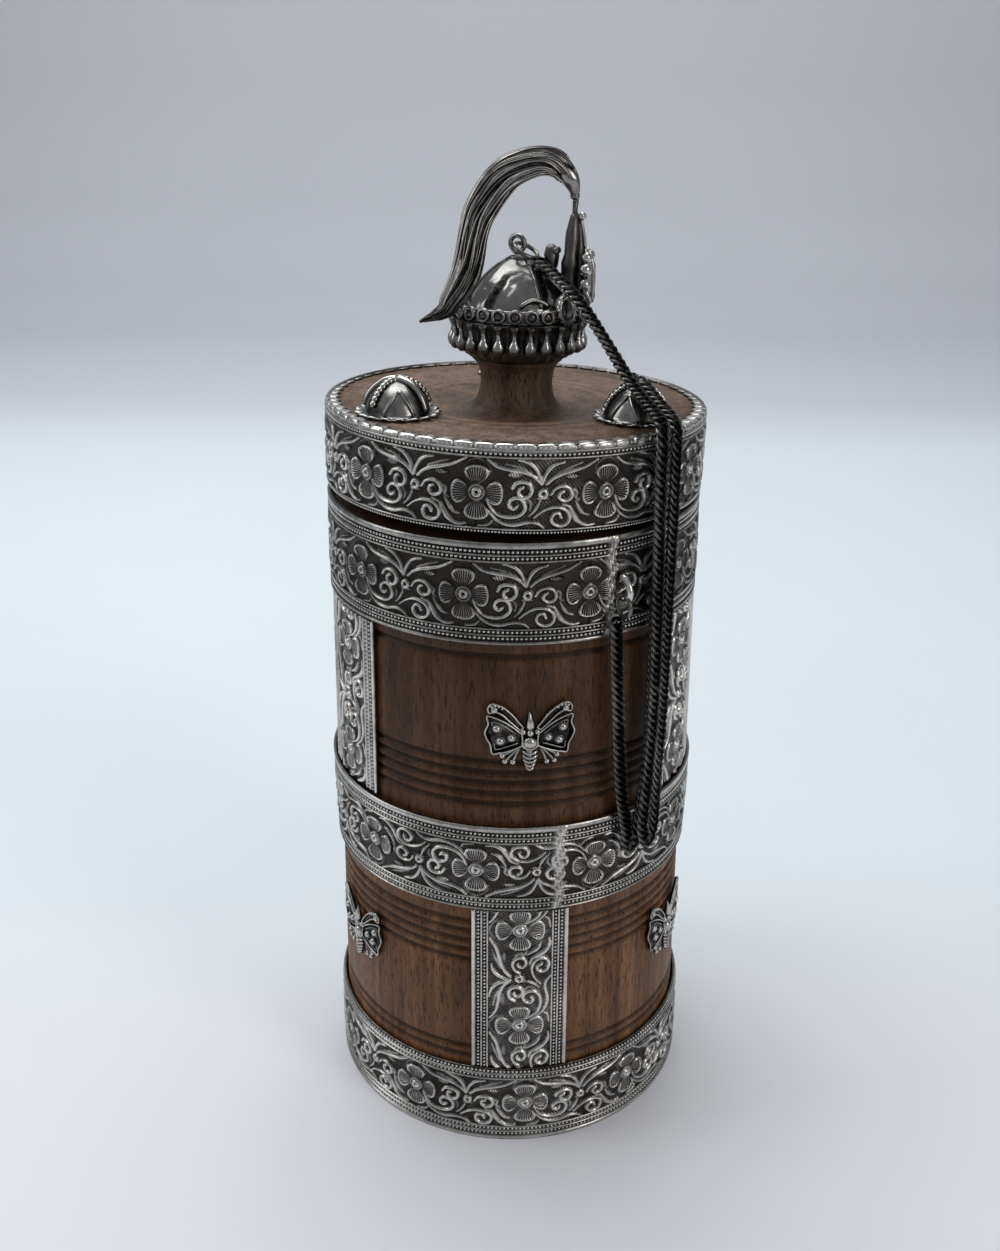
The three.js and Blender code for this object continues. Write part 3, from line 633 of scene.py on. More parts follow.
# Stamped strip: one repeat of its ornament, in millimetres along and across the strip from the
# middle of a flower. Each stroke is its height, its half widths at start, middle and end, and its points.
strip_repeat = 23.4
field_half = 6.2
strip_step = 0.19  # between two rows of a stamped sheet's grid
knot = 11.7
stroke_weight = 1.34
strokes = [
    # long leaves that rise from the knots to both sides
    (0.9, (0.3, 0.34, 0.2), [(11.4, 1.9), (10, 3.2), (8, 4.0), (5.8, 4.3), (3.6, 4.8), (1.9, 6.0)]),
    (0.6, (0.15, 0.2, 0.12), [(10.6, 2.6), (9.2, 3.9), (7.4, 4.8), (5, 5.3)]),
    (0.9, (0.26, 0.36, 0.16), [(11.2, 2.6), (10.7, 4.0), (9.6, 5.3), (8.2, 5.9), (7.2, 6.1)]),
    (0.9, (0.26, 0.36, 0.16), [(11.5, 2.1), (12, 3.5), (12.8, 4.7), (13.9, 5.4), (15.3, 5.7)]),
    (0.9, (0.3, 0.34, 0.2), [(12.3, 1.9), (13.4, 2.9), (15.2, 3.7), (17.2, 4.2), (19.2, 4.8), (21.4, 6.0)]),
    (0.6, (0.12, 0.2, 0.12), [(14.2, 3.9), (16.4, 4.8), (18.6, 5.5)]),
    # curl and crescent right of the flower
    (1.0, (0.16, 0.34, 0.3), [
        (1.8, -1.0), (2.5, -2.5), (3.7, -3.7), (5.4, -4.2), (7.2, -4.0), (8.4, -3.1), (8.6, -1.9),
        (7.9, -0.9), (6.8, -0.7), (5.9, -1.3), (5.8, -2.2), (6.5, -2.7), (7.1, -2.3),
    ]),
    (0.85, (0.16, 0.34, 0.2), [
        (2.2, -3.2), (3.3, -4.5), (4.9, -5.4), (6.8, -5.6), (9.2, -5.1), (10.8, -5.3), (12.0, -6.1),
    ]),
    (0.7, (0.16, 0.26, 0.14), [(0.4, -6.0), (2.2, -5.7), (2.9, -4.9)]),
    (1.0, (0.3, 0.36, 0.3), [
        (6.3, 1.0), (6.9, 1.9), (8.0, 2.2), (9.2, 1.9), (9.7, 0.9), (9.3, -0.2), (8.3, -0.6), (7.5, 0.0),
        (7.5, 0.9), (8.1, 1.2),
    ]),
    (0.8, (0.14, 0.3, 0.14), [(9.3, -3.9), (10.2, -3.0), (10.9, -1.8), (11.2, -0.9)]),
    (0.6, (0.12, 0.22, 0.12), [(8.9, -0.8), (9.6, -1.8), (9.4, -2.9)]),
    # curls right of the knot
    (1.0, (0.22, 0.34, 0.3), [
        (13.1, 0.0), (13.8, 1.0), (15.1, 1.45), (16.3, 1.1), (16.9, 0.1), (16.5, -0.9), (15.4, -1.2),
        (14.6, -0.6), (14.7, 0.2), (15.3, 0.5),
    ]),
    (0.7, (0.14, 0.28, 0.12), [(17.2, 0.9), (17.8, 0.2), (17.6, -0.7), (18.4, -1.3)]),
    (1.0, (0.16, 0.32, 0.3), [
        (10.2, -4.2), (11.4, -3.2), (12.9, -2.5), (14.4, -2.4), (15.8, -2.9), (16.6, -4.0), (16.2, -5.3),
        (15.0, -5.8), (13.8, -5.4), (13.3, -4.4), (13.8, -3.5), (14.7, -3.5), (15.1, -4.3),
    ]),
    # leaves that hang beside the next flower
    (0.85, (0.16, 0.46, 0.16), [(15.2, -1.9), (16.6, -2.4), (17.3, -3.6), (18.2, -5.0), (19.8, -5.9), (21.4, -5.8)]),
    (0.8, (0.16, 0.38, 0.14), [(17.6, -1.3), (18.3, -2.6), (19.2, -3.7), (20.3, -4.1)]),
    # frame over the flower
    (0.4, (0.1, 0.16, 0.1), [
        (-2.5, 3.2), (-2.1, 4.9), (-1.0, 5.8), (0, 6.1), (1.0, 5.8), (2.1, 4.9), (2.5, 3.2),
    ]),
]
# Raised rings: middle, radius, half width and height
rings = [((0, 0), 0.62, 0.3, 1.0), ((0, 0), 1.3, 0.16, 0.75), ((knot, 0.15), 0.62, 0.3, 1.0)]
# Petals: middle, half sizes and the way they point, in degrees
petals = [
    ((0, 3.15), 2.3, 1.78, 90), ((0, -3.15), 2.35, 1.78, 270),
    ((-2.95, 0), 2.25, 1.74, 180), ((3.0, 0), 2.25, 1.74, 0),
]
# Hatched lobes: middle and half sizes
lobes = [((6.6, 3.4), 1.5, 0.6), ((16.9, 3.1), 1.4, 0.5), ((knot, -0.75), 1.5, 0.35)]


class StampedStrip:
    """Height of the ornament, and the fine hatching of its petals, over one repeat of the strip."""

    cell = 0.06

    def __init__(self):
        self.columns = int(round(strip_repeat / self.cell))
        self.rows = int(2 * field_half / self.cell) + 1
        across = np.arange(self.rows) * self.cell - field_half
        self.u, self.v = np.meshgrid(np.arange(self.columns) * self.cell, across)
        self.height, self.hatch_at, self.hatch_share = np.zeros((3, self.rows, self.columns))
        for middle, half_wide, half_deep, points_to in petals:
            self.petal(middle, half_wide, half_deep, math.radians(points_to))
        for middle, half_wide, half_deep in lobes:
            self.lobe(middle, half_wide, half_deep)
        bare = self.height < 0.05
        self.hatch_at = np.where(bare, 0.8 * self.u + 0.6 * self.v, self.hatch_at)
        self.hatch_share = np.where(bare, 0.35, self.hatch_share)
        for height, widths, points in strokes:
            self.stroke(points, widths, height)
        turn = np.linspace(0, math.tau, 40)
        for (cu, cv), radius, width, height in rings:
            points = np.stack([cu + radius * np.cos(turn), cv + radius * np.sin(turn)], 1)
            self.stroke(points, (width,) * 3, height)

    def offset(self, cu, cv, window=...):
        du = (self.u[window] - cu + strip_repeat / 2) % strip_repeat - strip_repeat / 2
        return du, self.v[window] - cv

    def stroke(self, points, widths, height):
        line = smooth_line(points, 12)
        run = run_along(line)
        at = np.linspace(0, run[-1], int(run[-1] / 0.09) + 2)
        half = stroke_weight * np.interp(at / run[-1], [0, 0.5, 1], widths)
        for (u, v), w in zip(at_lengths(line, run, at), half):
            reach = int(w / self.cell) + 1
            column, row = int(round(u / self.cell)), int(round((v + field_half) / self.cell))
            columns = np.arange(column - reach, column + reach + 1) % self.columns
            rows = np.arange(max(row - reach, 0), min(row + reach + 1, self.rows))
            if not len(rows):
                continue
            window = np.ix_(rows, columns)
            du, dv = self.offset(u, v, window)
            ridge = height * np.clip(1 - (du**2 + dv**2) / w**2, 0, 1) ** 0.6
            self.height[window] = np.maximum(self.height[window], ridge)
            self.hatch_share[window] *= np.where(ridge > 0.3, 0, 1)

    def petal(self, middle, half_wide, half_deep, points_to):
        du, dv = self.offset(*middle)
        out = du * math.cos(points_to) + dv * math.sin(points_to)
        side = -du * math.sin(points_to) + dv * math.cos(points_to)
        round_off = np.clip((out + half_deep) / (2 * half_deep), 0, 1)
        wide = half_wide * (0.4 + 0.6 * np.sin(0.5 * math.pi * np.clip(1.35 * round_off, 0, 1)))
        d = ((np.abs(side) / wide) ** 2.4 + (np.abs(out) / half_deep) ** 2.6) ** 0.4
        dome = (0.14 + 0.32 * round_off) * np.clip(1 - d**4, 0, 1) ** 0.5
        rim = 0.98 * np.clip(1 - ((d - 0.88) / 0.16) ** 2, 0, 1) * np.clip(2.2 * round_off, 0.25, 1)
        self.height = np.maximum(self.height, np.maximum(dome, rim))
        inside = (d < 0.8) & (out > -0.6 * half_deep)
        self.hatch_at = np.where(d < 1.1, side * 1.5 / (0.6 + round_off), self.hatch_at)
        self.hatch_share = np.where(inside, 1.0, self.hatch_share)

    def lobe(self, middle, half_wide, half_deep):
        du, dv = self.offset(*middle)
        d = np.sqrt((du / half_wide) ** 2 + (dv / half_deep) ** 2)
        self.height = np.maximum(self.height, 0.6 * np.clip(1 - d**2, 0, 1) ** 0.5)
        self.hatch_at = np.where(d < 1.1, du + 0.6 * dv, self.hatch_at)
        self.hatch_share = np.where(d < 0.85, 0.8, self.hatch_share)

    def sample(self, grid, u, v):
        x = (u % strip_repeat) / self.cell
        y = np.clip((v + field_half) / self.cell, 0, self.rows - 1.001)
        x0, y0 = np.floor(x).astype(int), np.floor(y).astype(int)
        fx, fy = x - x0, y - y0
        x0, x1 = x0 % self.columns, (x0 + 1) % self.columns
        top = grid[y0, x0] * (1 - fx) + grid[y0, x1] * fx
        low = grid[y0 + 1, x0] * (1 - fx) + grid[y0 + 1, x1] * fx
        return (top * (1 - fy) + low * fy) * (np.abs(v) < field_half)


strip = StampedStrip()
relief_depth = 0.62
relief_level = 0.35  # height of the ornament that lies on the sheet's own face

# Across the strip, from its middle: the plain ridges and the rows of pearls of one border
ridge_places = [6.45, 7.65]
pearl_places = [7.05, 8.3]
pearl_pitch = 0.86
pearl_radius = 0.34
pearl_sink = 0.17  # how far a pearl's base lies under the sheet's face


def border_height(v):
    """Height of the plain ridges and the lip on either side of the field."""
    a = np.abs(v)
    ridges = sum(0.75 * np.clip(1 - ((a - at) / 0.26) ** 2, 0, 1) ** 0.6 for at in ridge_places)
    lip = 0.75 * np.clip((a - 8.75) / 0.25, 0, 1)
    return np.maximum(ridges, lip)


def strip_rows(low, high):
    """Places across the strip, close together where the relief is fine."""
    rows = list(np.arange(-field_half, field_half + 0.01, strip_step))
    for side in (-1, 1):
        for at in ridge_places:
            rows += [side * (at + d) for d in (-0.27, -0.2, -0.1, 0, 0.1, 0.2, 0.27)]
        rows += [side * d for d in (8.74, 8.86, 9.0)]
    rows = sorted(r for r in set(np.round(rows, 3)) if low + 0.15 < r < high - 0.15)
    return [low, low + 0.1] + rows + [high - 0.1, high]


def relief_of(u, v):
    """The ornament's height and its hatching at places u along the strip and v across it."""
    height = np.where(np.abs(v) < field_half, strip.sample(strip.height, u, v), border_height(v))
    return height, strip.sample(strip.hatch_at, u, v), strip.sample(strip.hatch_share, u, v)


def stamp(mesh, face, height, hatch_at, hatch_share, edge, wear):
    """Sets a stamped sheet's attributes and gives its radius: that of its face with the relief on it.

    edge marks the sheet's rim, and wear is how much brighter it is rubbed.
    """
    set_attribute(mesh, "relief", np.where(edge, 0.3, height + wear))
    set_attribute(mesh, "hatch_at", hatch_at)
    set_attribute(mesh, "hatch_share", hatch_share)
    return face + relief_depth * (height - relief_level) - 0.25 * edge


def stamped_grid(name, columns, rows):
    """A flat grid: its mesh, each vertex's column and row place, and whether it is on either's rim."""
    bm = bmesh.new()
    bmesh.ops.create_grid(bm, x_segments=len(columns) - 1, y_segments=len(rows) - 1, size=0.5)
    mesh = mesh_of(bm, name)
    places, rims = [], []
    for line, flat in zip((columns, rows), corners(mesh).T):
        last = len(line) - 1
        index = np.rint((flat + 0.5) * last).astype(int)
        places.append(np.asarray(line)[index])
        rims.append((index == 0) | (index == last))
    return mesh, *places, *rims


def close_sheet(mesh, thickness, hoop=True, down=False):
    """Welds a hoop's two ends and gives the sheet its back, inwards or below."""
    bm = bmesh.new()
    bm.from_mesh(mesh)
    if hoop:
        bmesh.ops.remove_doubles(bm, verts=[v for v in bm.verts if v.is_boundary], dist=2e-6)
    grown = bmesh.ops.extrude_edge_only(bm, edges=[e for e in bm.edges if e.is_boundary])["geom"]
    for v in verts_in(grown):
        out = UP if down else Vector((v.co.x, v.co.y, 0)).normalized()
        v.co -= out * thickness * MM
    if hoop:
        bmesh.ops.bridge_loops(bm, edges=edges_in(grown))
    else:
        bmesh.ops.contextual_create(bm, geom=edges_in(grown))
    bmesh.ops.recalc_face_normals(bm, faces=bm.faces)
    bm.to_mesh(mesh)
    bm.free()


def pearls(name, places, body):
    """Pearls on matrices in millimetres, all in one piece."""
    bm = bmesh.new()
    r = pearl_radius
    turn_profile(bm, [(r, -0.12), (0.93 * r, 0.1), (0.62 * r, 0.26), (0, 0.36)], 7)
    one = mesh_of(bm, "pearl")
    heights = np.tile(corners(one)[:, 2], len(places))
    bm = copies(one, places)
    metres(bm)
    mesh = mesh_of(bm, name)
    set_attribute(mesh, "relief", np.interp(heights, [-0.12, 0.12, 0.3], [0.0, 0.5, 1.0]))
    piece(name, mesh, beaded_silver, body)


# A hoop's grid is finer over its front, which the photograph shows
front_reach = 95  # degrees to each side
front_columns = 611
back_columns = 281
seam_half_width = 1.15
seam_bare = 1.9  # degrees to each side of a seam that bear no pearls


def hoop_band(name, node, low, high, face, middle, flower_azimuth, upside_down=False, body="vessel",
              place=Matrix.Identity(4), pearl_sides=(-1, 1), wear=0.0, seam=None):
    """Stamped hoop between the heights low and high. face is its radius at them, and middle the height
    of the field's middle.

    wear is how much brighter it is rubbed, and seam the azimuth of its soldered joint.
    """

    def radius_at(z):
        return face[0] + (face[1] - face[0]) * (z - low) / (high - low)

    front = np.linspace(-front_reach, front_reach, front_columns)
    back = np.linspace(front_reach, 360 - front_reach, back_columns)
    turns = np.radians(np.concatenate([front, back[1:]]))
    mesh, turn, v, _, edge = stamped_grid(name, turns, strip_rows(low - middle, high - middle))
    mean = radius_at(middle)
    # the strip's repeats close on themselves after a whole number round the hoop
    repeats = round(math.tau * mean / strip_repeat)
    along = (turn - math.radians(flower_azimuth)) / math.tau * repeats * strip_repeat
    height, hatch_at, hatch_share = relief_of(-along, -v) if upside_down else relief_of(along, v)
    if seam is not None:
        off = (turn - math.radians(seam)) * mean + 0.25 * np.sin(1.3 * v)
        solder = np.exp(-((off / seam_half_width) ** 4))
        lumps = 0.78 + 0.25 * np.sin(4.1 * v) * np.sin(2.9 * off + 1.7 * v) + 0.15 * np.sin(9.0 * off)
        height = height * (1 - solder) + lumps * solder
        hatch_share = hatch_share * (1 - solder)
    radius = stamp(mesh, radius_at(middle + v), height, hatch_at, hatch_share, edge, wear)
    set_corners(mesh, moved(wrapped(radius, turn, middle + v), place))
    close_sheet(mesh, sheet_thickness)
    piece(name, mesh, stamped_silver, body, [node])

    count = int(round(math.tau * mean / pearl_pitch))
    azimuths = [360 * k / count for k in range(count)]
    if seam is not None:
        azimuths = [a for a in azimuths if abs(signed_turn(a - seam)) > seam_bare]
    places = []
    for z in (middle + side * at for side in pearl_sides for at in pearl_places):
        if low + 0.3 < z < high - 0.3:
            places += [place @ facing(radius_at(z) - pearl_sink, a, z) for a in azimuths]
    pearls(name + "_pearls", places, body)


hoop_band("mouth_hoop", "mouth_band", mouth_low, mouth_high, (37.35, 37.1), 124.9, -13.8, wear=-0.25, seam=29)
hoop_band("waist_hoop", "waist_band", waist_low, waist_high, (38.15, 38.5), 67.3, -10.2, upside_down=True,
          wear=-0.07, seam=14.5)
hoop_band("foot_hoop", "foot_band", foot_low, foot_high, (39.2, 39.0), 9.7, 5.2)

strap_half = 9.65
strap_bend = 37.35  # radius that the straps' width is bent to


def upright_strap(name, node, azimuth, low, high, flower_height):
    """Stamped strap: the strip stands on end, its leaves toward -X seen from outside."""
    heights = np.linspace(low, high, int((high - low) / strip_step) + 1)
    mesh, v, z, side_rim, end_rim = stamped_grid(name, strip_rows(-strap_half, strap_half), heights)
    face = wood_radius(z) + fit_gap + sheet_thickness
    radius = stamp(mesh, face, *relief_of(z - flower_height, -v), side_rim | end_rim, 0.1)
    set_corners(mesh, wrapped(radius, math.radians(azimuth) + v / strap_bend, z))
    close_sheet(mesh, sheet_thickness, hoop=False)
    piece(name, mesh, stamped_silver, "vessel", [node])

    count = int((high - low) / pearl_pitch)
    places = []
    for at in (side * at for side in (-1, 1) for at in pearl_places):
        turn = azimuth + math.degrees(at / strap_bend)
        for k in range(count):
            z = low + (k + 0.5) * (high - low) / count
            places.append(facing(wood_radius(z) + fit_gap + sheet_thickness - pearl_sink, turn, z))
    pearls(name + "_pearls", places, "vessel")


lower_span = (foot_high + fit_gap, waist_low - fit_gap)
upper_span = (waist_high + fit_gap, mouth_low - fit_gap)
for side, azimuth in (("front", 3.2), ("right", 123.2), ("left", 243.2)):
    upright_strap(f"lower_{side}_strap", f"lower_strap_{side}", azimuth, *lower_span, 29.9)
for side, azimuth in (("left", -60), ("right", 64), ("back", 180)):
    upright_strap(f"upper_{side}_strap", f"upper_strap_{side}", azimuth, *upper_span, 84.2)

hoop_band("lid_hoop", "lid_band", 0.0, lid_band_height, (lid_band_radius, lid_band_radius), 7.3, -10.2, body="lid",
          place=lid_frame, pearl_sides=(1,), wear=-0.14)

lip_petals = 64
lip_thickness = 0.35
edge_pearls = 380


def folded_lip():
    """The lid hoop's top edge, folded over the wood in petals, and the pearls along its lower edge."""
    turns = np.linspace(0, math.tau, 10 * lip_petals + 1)
    levels = [-0.5, -0.3, -0.12, 0, 0.15, 0.35, 0.6, 0.8, 0.94, 1]
    mesh, turn, t, _, _ = stamped_grid("lid_petals", turns, levels)
    x = (turn * lip_petals / math.tau) % 1 * 2 - 1
    arc = np.sqrt(np.clip(1 - x**2, 0, 1))
    front = np.interp(np.abs(signed_turn(np.degrees(turn))), [70, 120], [1, 0.4])
    depth = (1.0 + 2.1 * arc) * front
    dome = arc**0.6 * np.interp(t, [-0.5, -0.25, 0, 0.3, 0.8, 1], [0.1, 0.8, 1, 1, 0.7, 0])
    bulge = np.interp(t, [-0.5, -0.25, 0], [0.2, 0.22, 0]) + 0.12 * dome * (t < 0)
    r = 37.05 - np.maximum(t, 0) * depth + bulge
    z = 15.75 + 0.42 * dome * front - np.interp(t, [-0.5, -0.2, 0, 1], [1.0, 0.35, 0, 0.05])
    set_corners(mesh, moved(wrapped(r, turn, z), lid_frame))
    set_attribute(mesh, "relief", (0.35 + 0.65 * front) * (0.1 + 0.85 * dome))
    close_sheet(mesh, lip_thickness, down=True)
    piece("lid_petals", mesh, beaded_silver, "lid")
    small = Matrix.Scale(0.75, 4)
    azimuths = [360 * k / edge_pearls for k in range(edge_pearls)]
    pearls("lid_edge_pearls", [lid_frame @ facing(37.1, a, 0.3) @ small for a in azimuths], "lid")


folded_lip()


def polar(radius, degrees, z):
    """A point at an angle from +X, as it is measured on the bosses and the crown."""
    turn = math.radians(degrees)
    return radius * math.cos(turn), radius * math.sin(turn), z


# Ribbed bosses on the lid
boss_outline = [(6.2, 0.4), (6.1, 1.2), (5.7, 2.4), (5.0, 3.7), (3.95, 4.85), (2.65, 5.75), (1.3, 6.2), (0, 6.35)]
boss_flange = [(0, 0.02), (6.3, 0.02), (7.3, 0.02), (8.2, 0.06), (8.3, 0.28), (7.6, 0.5), (6.8, 0.5)]
boss_scallops = 17
scallop_start = 6.5  # radius at which the flange begins to wave
scallop_reach = 1.8
# Each rib's turn, and whether it is beaded
boss_ribs = [(0, True), (105, False), (150, True), (205, False), (258, True), (310, False)]
boss_arch = 52  # turn of the arched ridge in the widest panel
boss_foot = 15.42  # height of the flange's underside in the lid's frame


def boss_radius(z):
    return np.interp(z, [h for _, h in boss_outline], [r for r, _ in boss_outline])


def beads_along(bm, points, radius, pitch):
    line = smooth_line(points, 8)
    run = run_along(line)
    for place in at_lengths(line, run, np.arange(0, run[-1], pitch)):
        ball(bm, place, radius, 1.0, 6)


def boss(name, node, azimuth, radius, turn):
    place = lid_frame @ Matrix.Translation(around(radius, azimuth, boss_foot)) @ turned(turn)
    bm = bmesh.new()
    turn_profile(bm, boss_flange + boss_outline, 6 * boss_scallops)
    for v in bm.verts:
        share = (math.hypot(v.co.x, v.co.y) - scallop_start) / scallop_reach
        if share > 0:
            wave = abs(math.sin(0.5 * boss_scallops * math.atan2(v.co.y, v.co.x)))
            v.co.xy *= 1 - 0.13 * share * (1 - wave) ** 2
            v.co.z += 0.55 * share * wave
    for rib_turn, beaded in boss_ribs:
        line = [polar(r + 0.1, rib_turn, z + 0.12) for r, z in boss_outline[1:]]
        if beaded:
            beads_along(bm, line[1:], 0.72, 0.95)
        else:
            smooth_wire(bm, line, 3, np.linspace(0.55, 0.85, 19), 8)
    arch = []
    for share in np.linspace(-1, 1, 21):
        z = 5.0 - 4.2 * abs(share) ** 1.6
        arch.append(polar(boss_radius(z), boss_arch + 27 * share, z))
    wire(bm, arch, 0.42, 7)
    metres(bm, place)
    mesh = mesh_of(bm, name)
    x, y, z = moved(corners(mesh) / MM, place.inverted()).T
    reach = np.hypot(x, y)
    proud = reach - boss_radius(z)
    angle = np.degrees(np.arctan2(y, x))
    to_rib = np.min([np.abs(signed_turn(angle - rib_turn)) for rib_turn, _ in boss_ribs], axis=0)
    rubbed = np.interp(proud, [0.12, 0.6], [0.2, 0.95])
    # panels darken beside the ribs and carry a painted highlight toward their middles
    panels = np.interp(to_rib, [8, 26], [0.0, 0.6])
    flange = np.interp(z, [0.1, 0.9], [0.1, 1.0])
    set_attribute(mesh, "relief", np.where(reach > 6.6, flange, np.where(proud > 0.12, rubbed, panels)))
    piece(name, mesh, cast_silver, "lid", [node])


boss("left_boss", "lid_boss_left", -58.2, 26.1, -135)
boss("right_boss", "lid_boss_right", 60.5, 26.0, -170)
boss("back_boss", "lid_boss_back", 180, 25.2, 90)


# Butterflies, drawn flat around the middle of the thorax and bent to the wood
upper_butterfly_height = 96.7
lower_butterfly_height = 41.5
upper_wing = [
    (1.3, 2.4), (2.2, 3.5), (3.4, 5.0), (4.6, 6.1), (5.6, 6.8), (6.7, 7.2), (7.6, 7.0), (8.1, 6.2), (7.8, 5.3),
    (6.6, 5.6), (5.2, 4.9), (3.6, 3.4), (2.0, 1.9),
]
wing_panel = [
    (1.6, 1.0), (3.0, 2.2), (4.7, 3.4), (6.6, 4.3), (8.3, 4.6), (8.0, 3.0), (8.7, 1.2), (8.2, -0.3), (7.6, -1.4),
    (7.3, -3.2), (6.2, -3.1), (4.5, -2.7), (2.2, -1.8), (1.3, -1.2),
]
wing_veins = [
    (0.13, [(2.6, 0.9), (4.6, 2.4), (6.4, 3.3), (7.4, 3.3), (7.1, 2.6)]),
    (0.14, [(2.4, -0.9), (4.6, -1.7), (6.6, -2.3), (6.9, -1.0)]),
]
hind_fingers = [
    [(2.0, -2.1), (2.7, -3.4), (3.3, -4.9)],
    [(2.2, -2.0), (3.5, -3.3), (4.8, -4.8)],
    [(2.5, -2.0), (4.1, -2.9), (5.3, -3.6)],
]
wing_spots = [(3.6, 0.2, 0.78), (5.7, -0.5, 0.84), (6.4, 2.1, 0.84)]
wing_tip_beads = [(5.3, 6.4), (6.0, 6.8), (6.7, 6.9), (7.3, 6.6)]
belts = [(-2.85, 1.4), (-3.75, 1.4), (-4.6, 1.25), (-5.4, 1.0), (-6.15, 0.7)]


def wing(bm):
    """The wings on the butterfly's +X side."""
    for edge in (upper_wing, wing_panel):
        line = smooth_line(edge, 3)
        face = bm.faces.new([bm.verts.new((x, y, 0)) for x, y in line])
        grown = bmesh.ops.extrude_face_region(bm, geom=[face])["geom"]
        bmesh.ops.translate(bm, vec=(0, 0, 0.35), verts=verts_in(grown))
        wire(bm, [(x, y, 0.5) for x, y in line], 0.19, 6, closed=True)
    for radius, vein in wing_veins:
        smooth_wire(bm, [(x, y, 0.42) for x, y in vein], 3, radius, 5)
    for x, y in wing_tip_beads:
        ball(bm, (x, y, 0.55), 0.34, 1, 6)
    ball(bm, (6.9, 5.9, 0.35), 0.75, 0.6)
    for x, y, r in wing_spots:
        ball(bm, (x, y, 0.5), r * 0.95, 0.8, 10)
        wire(bm, circle((x, y, 0.45), r, 12), 0.08, 5, closed=True)
    for finger in hind_fingers:
        smooth_wire(bm, [(x, y, 0.3) for x, y in finger], 3, np.linspace(0.2, 0.32, 7))
        ball(bm, (*finger[-1], 0.45), 0.58, 0.8, 8)


def flat_butterfly():
    bm = bmesh.new()
    wing(bm)
    mirrored = bmesh.ops.duplicate(bm, geom=whole(bm))["geom"]
    bmesh.ops.scale(bm, vec=(-1, 1, 1), verts=verts_in(mirrored))
    bmesh.ops.reverse_faces(bm, faces=[g for g in mirrored if isinstance(g, bmesh.types.BMFace)])
    feeler = [(0, 1.9, 0.4), (0, 2.8, 0.5), (-0.05, 3.9, 0.5), (-0.15, 5.1, 0.4), (-0.2, 5.8, 0.3)]
    wire(bm, feeler, [0.6, 0.85, 0.62, 0.28, 0.06], 8)
    ball(bm, (0, 1.35, 0.75), 0.68, 1, 10)
    for side in (-1, 1):
        ball(bm, (1.35 * side, 1.5, 0.5), 0.6, 1, 10)
    ball(bm, (0, -0.75, 0.5), 1.3, 0.8, 14)
    crescent = [(-1.5, -0.5, 0.5), (-1.2, -1.6, 0.65), (0, -2.1, 0.75), (1.2, -1.6, 0.65), (1.5, -0.5, 0.5)]
    smooth_wire(bm, crescent, 4, 0.26)
    for y, half in belts:
        shape = [(-1, 0.32, 0.4), (-0.6, 0.02, 0.85), (0, -0.1, 1.0), (0.6, 0.02, 0.85), (1, 0.32, 0.4)]
        smooth_wire(bm, [(half * x, y + dy, z) for x, dy, z in shape], 3, 0.28)
    wire(bm, [(0, -2.2, 0.0), (0, -4.5, 0.0), (0, -6.3, 0.0), (0, -7.2, 0.1)], [0.8, 0.85, 0.5, 0.12], 8)
    # cut across, so that the flat plates bend with the wood
    for x in range(-8, 9):
        bmesh.ops.bisect_plane(bm, geom=whole(bm), plane_co=(x + 0.013, 0, 0), plane_no=(1, 0, 0))
    bmesh.ops.triangulate(bm, faces=[f for f in bm.faces if len(f.verts) > 4])
    return mesh_of(bm, "flat_butterfly")


def butterfly(name, node, azimuth, height):
    mesh = flat_butterfly()
    x, y, z = corners(mesh).T
    clear = wood_radius(height - 7.2) + fit_gap
    turn = math.radians(azimuth) + 0.97 * x / clear
    set_corners(mesh, wrapped(clear + np.maximum(z, 0), turn, height - 0.4 + y))
    set_attribute(mesh, "relief", np.interp(z, [0, 0.36, 0.52, 0.8], [0.0, 0.04, 0.6, 1.2]))
    piece(name, mesh, cast_silver, "vessel", [node])


for side, azimuth in (("front", 5.4), ("right", 125.4), ("left", 245.4)):
    butterfly(f"butterfly_above_{side}", f"upper_butterfly_{side}", azimuth, upper_butterfly_height)
for side, azimuth in (("left", -57.5), ("right", 62.5), ("back", 182.5)):
    butterfly(f"butterfly_below_{side}", f"lower_butterfly_{side}", azimuth, lower_butterfly_height)


# Crown finial, in its own frame: +X is the way it faces
fringe_count = 26
jewel_turns = {"right": -37, "left": 37}


def crown_place(turn, radius, z, lean=0.0):
    """Matrix whose +X points outward at turn degrees, leaning back by lean degrees."""
    return turned(turn) @ Matrix.Translation((radius, 0, z)) @ turned(-lean, "Y")


def jewel_place(turn):
    return crown_place(turn, 12.0, 10.6, 6) @ turned(90, "Y") @ Matrix.Diagonal((1.3, 1, 1, 1))


def crown_piece(bm, name, material, nodes, heights=(), values=()):
    """Puts a piece of the crown in its place; values are its relief attribute at the heights."""
    metres(bm, crown_frame)
    mesh = mesh_of(bm, name)
    if heights:
        local = moved(corners(mesh) / MM, crown_frame.inverted())
        set_attribute(mesh, "relief", np.interp(local[:, 2], heights, values))
    piece(name, mesh, material, "lid", nodes)


def skirt():
    bm = bmesh.new()
    profile = [(4.3, 0.3), (8.8, 0.3), (9.6, 0.7), (10.6, 1.7), (11.2, 2.9), (11.2, 4.2), (11.0, 5.4), (11.3, 6.5)]
    profile += [(11.8, 7.3), (11.9, 8.0), (4.3, 8.0), (4.3, 0.3)]
    turn_profile(bm, profile, fringe_count * 6)
    for v in bm.verts:
        r = math.hypot(v.co.x, v.co.y)
        if r > 8.5 and 0.4 < v.co.z < 7:
            v.co.xy *= 1 - 0.35 * math.cos(fringe_count * math.atan2(v.co.y, v.co.x)) / r
    values = [0.5, 0.9, 0.35, 0.15, 0.5]
    crown_piece(bm, "crown_bowl", dark_silver, ["crown_skirt"], [0, 1, 3, 7, 8], values)


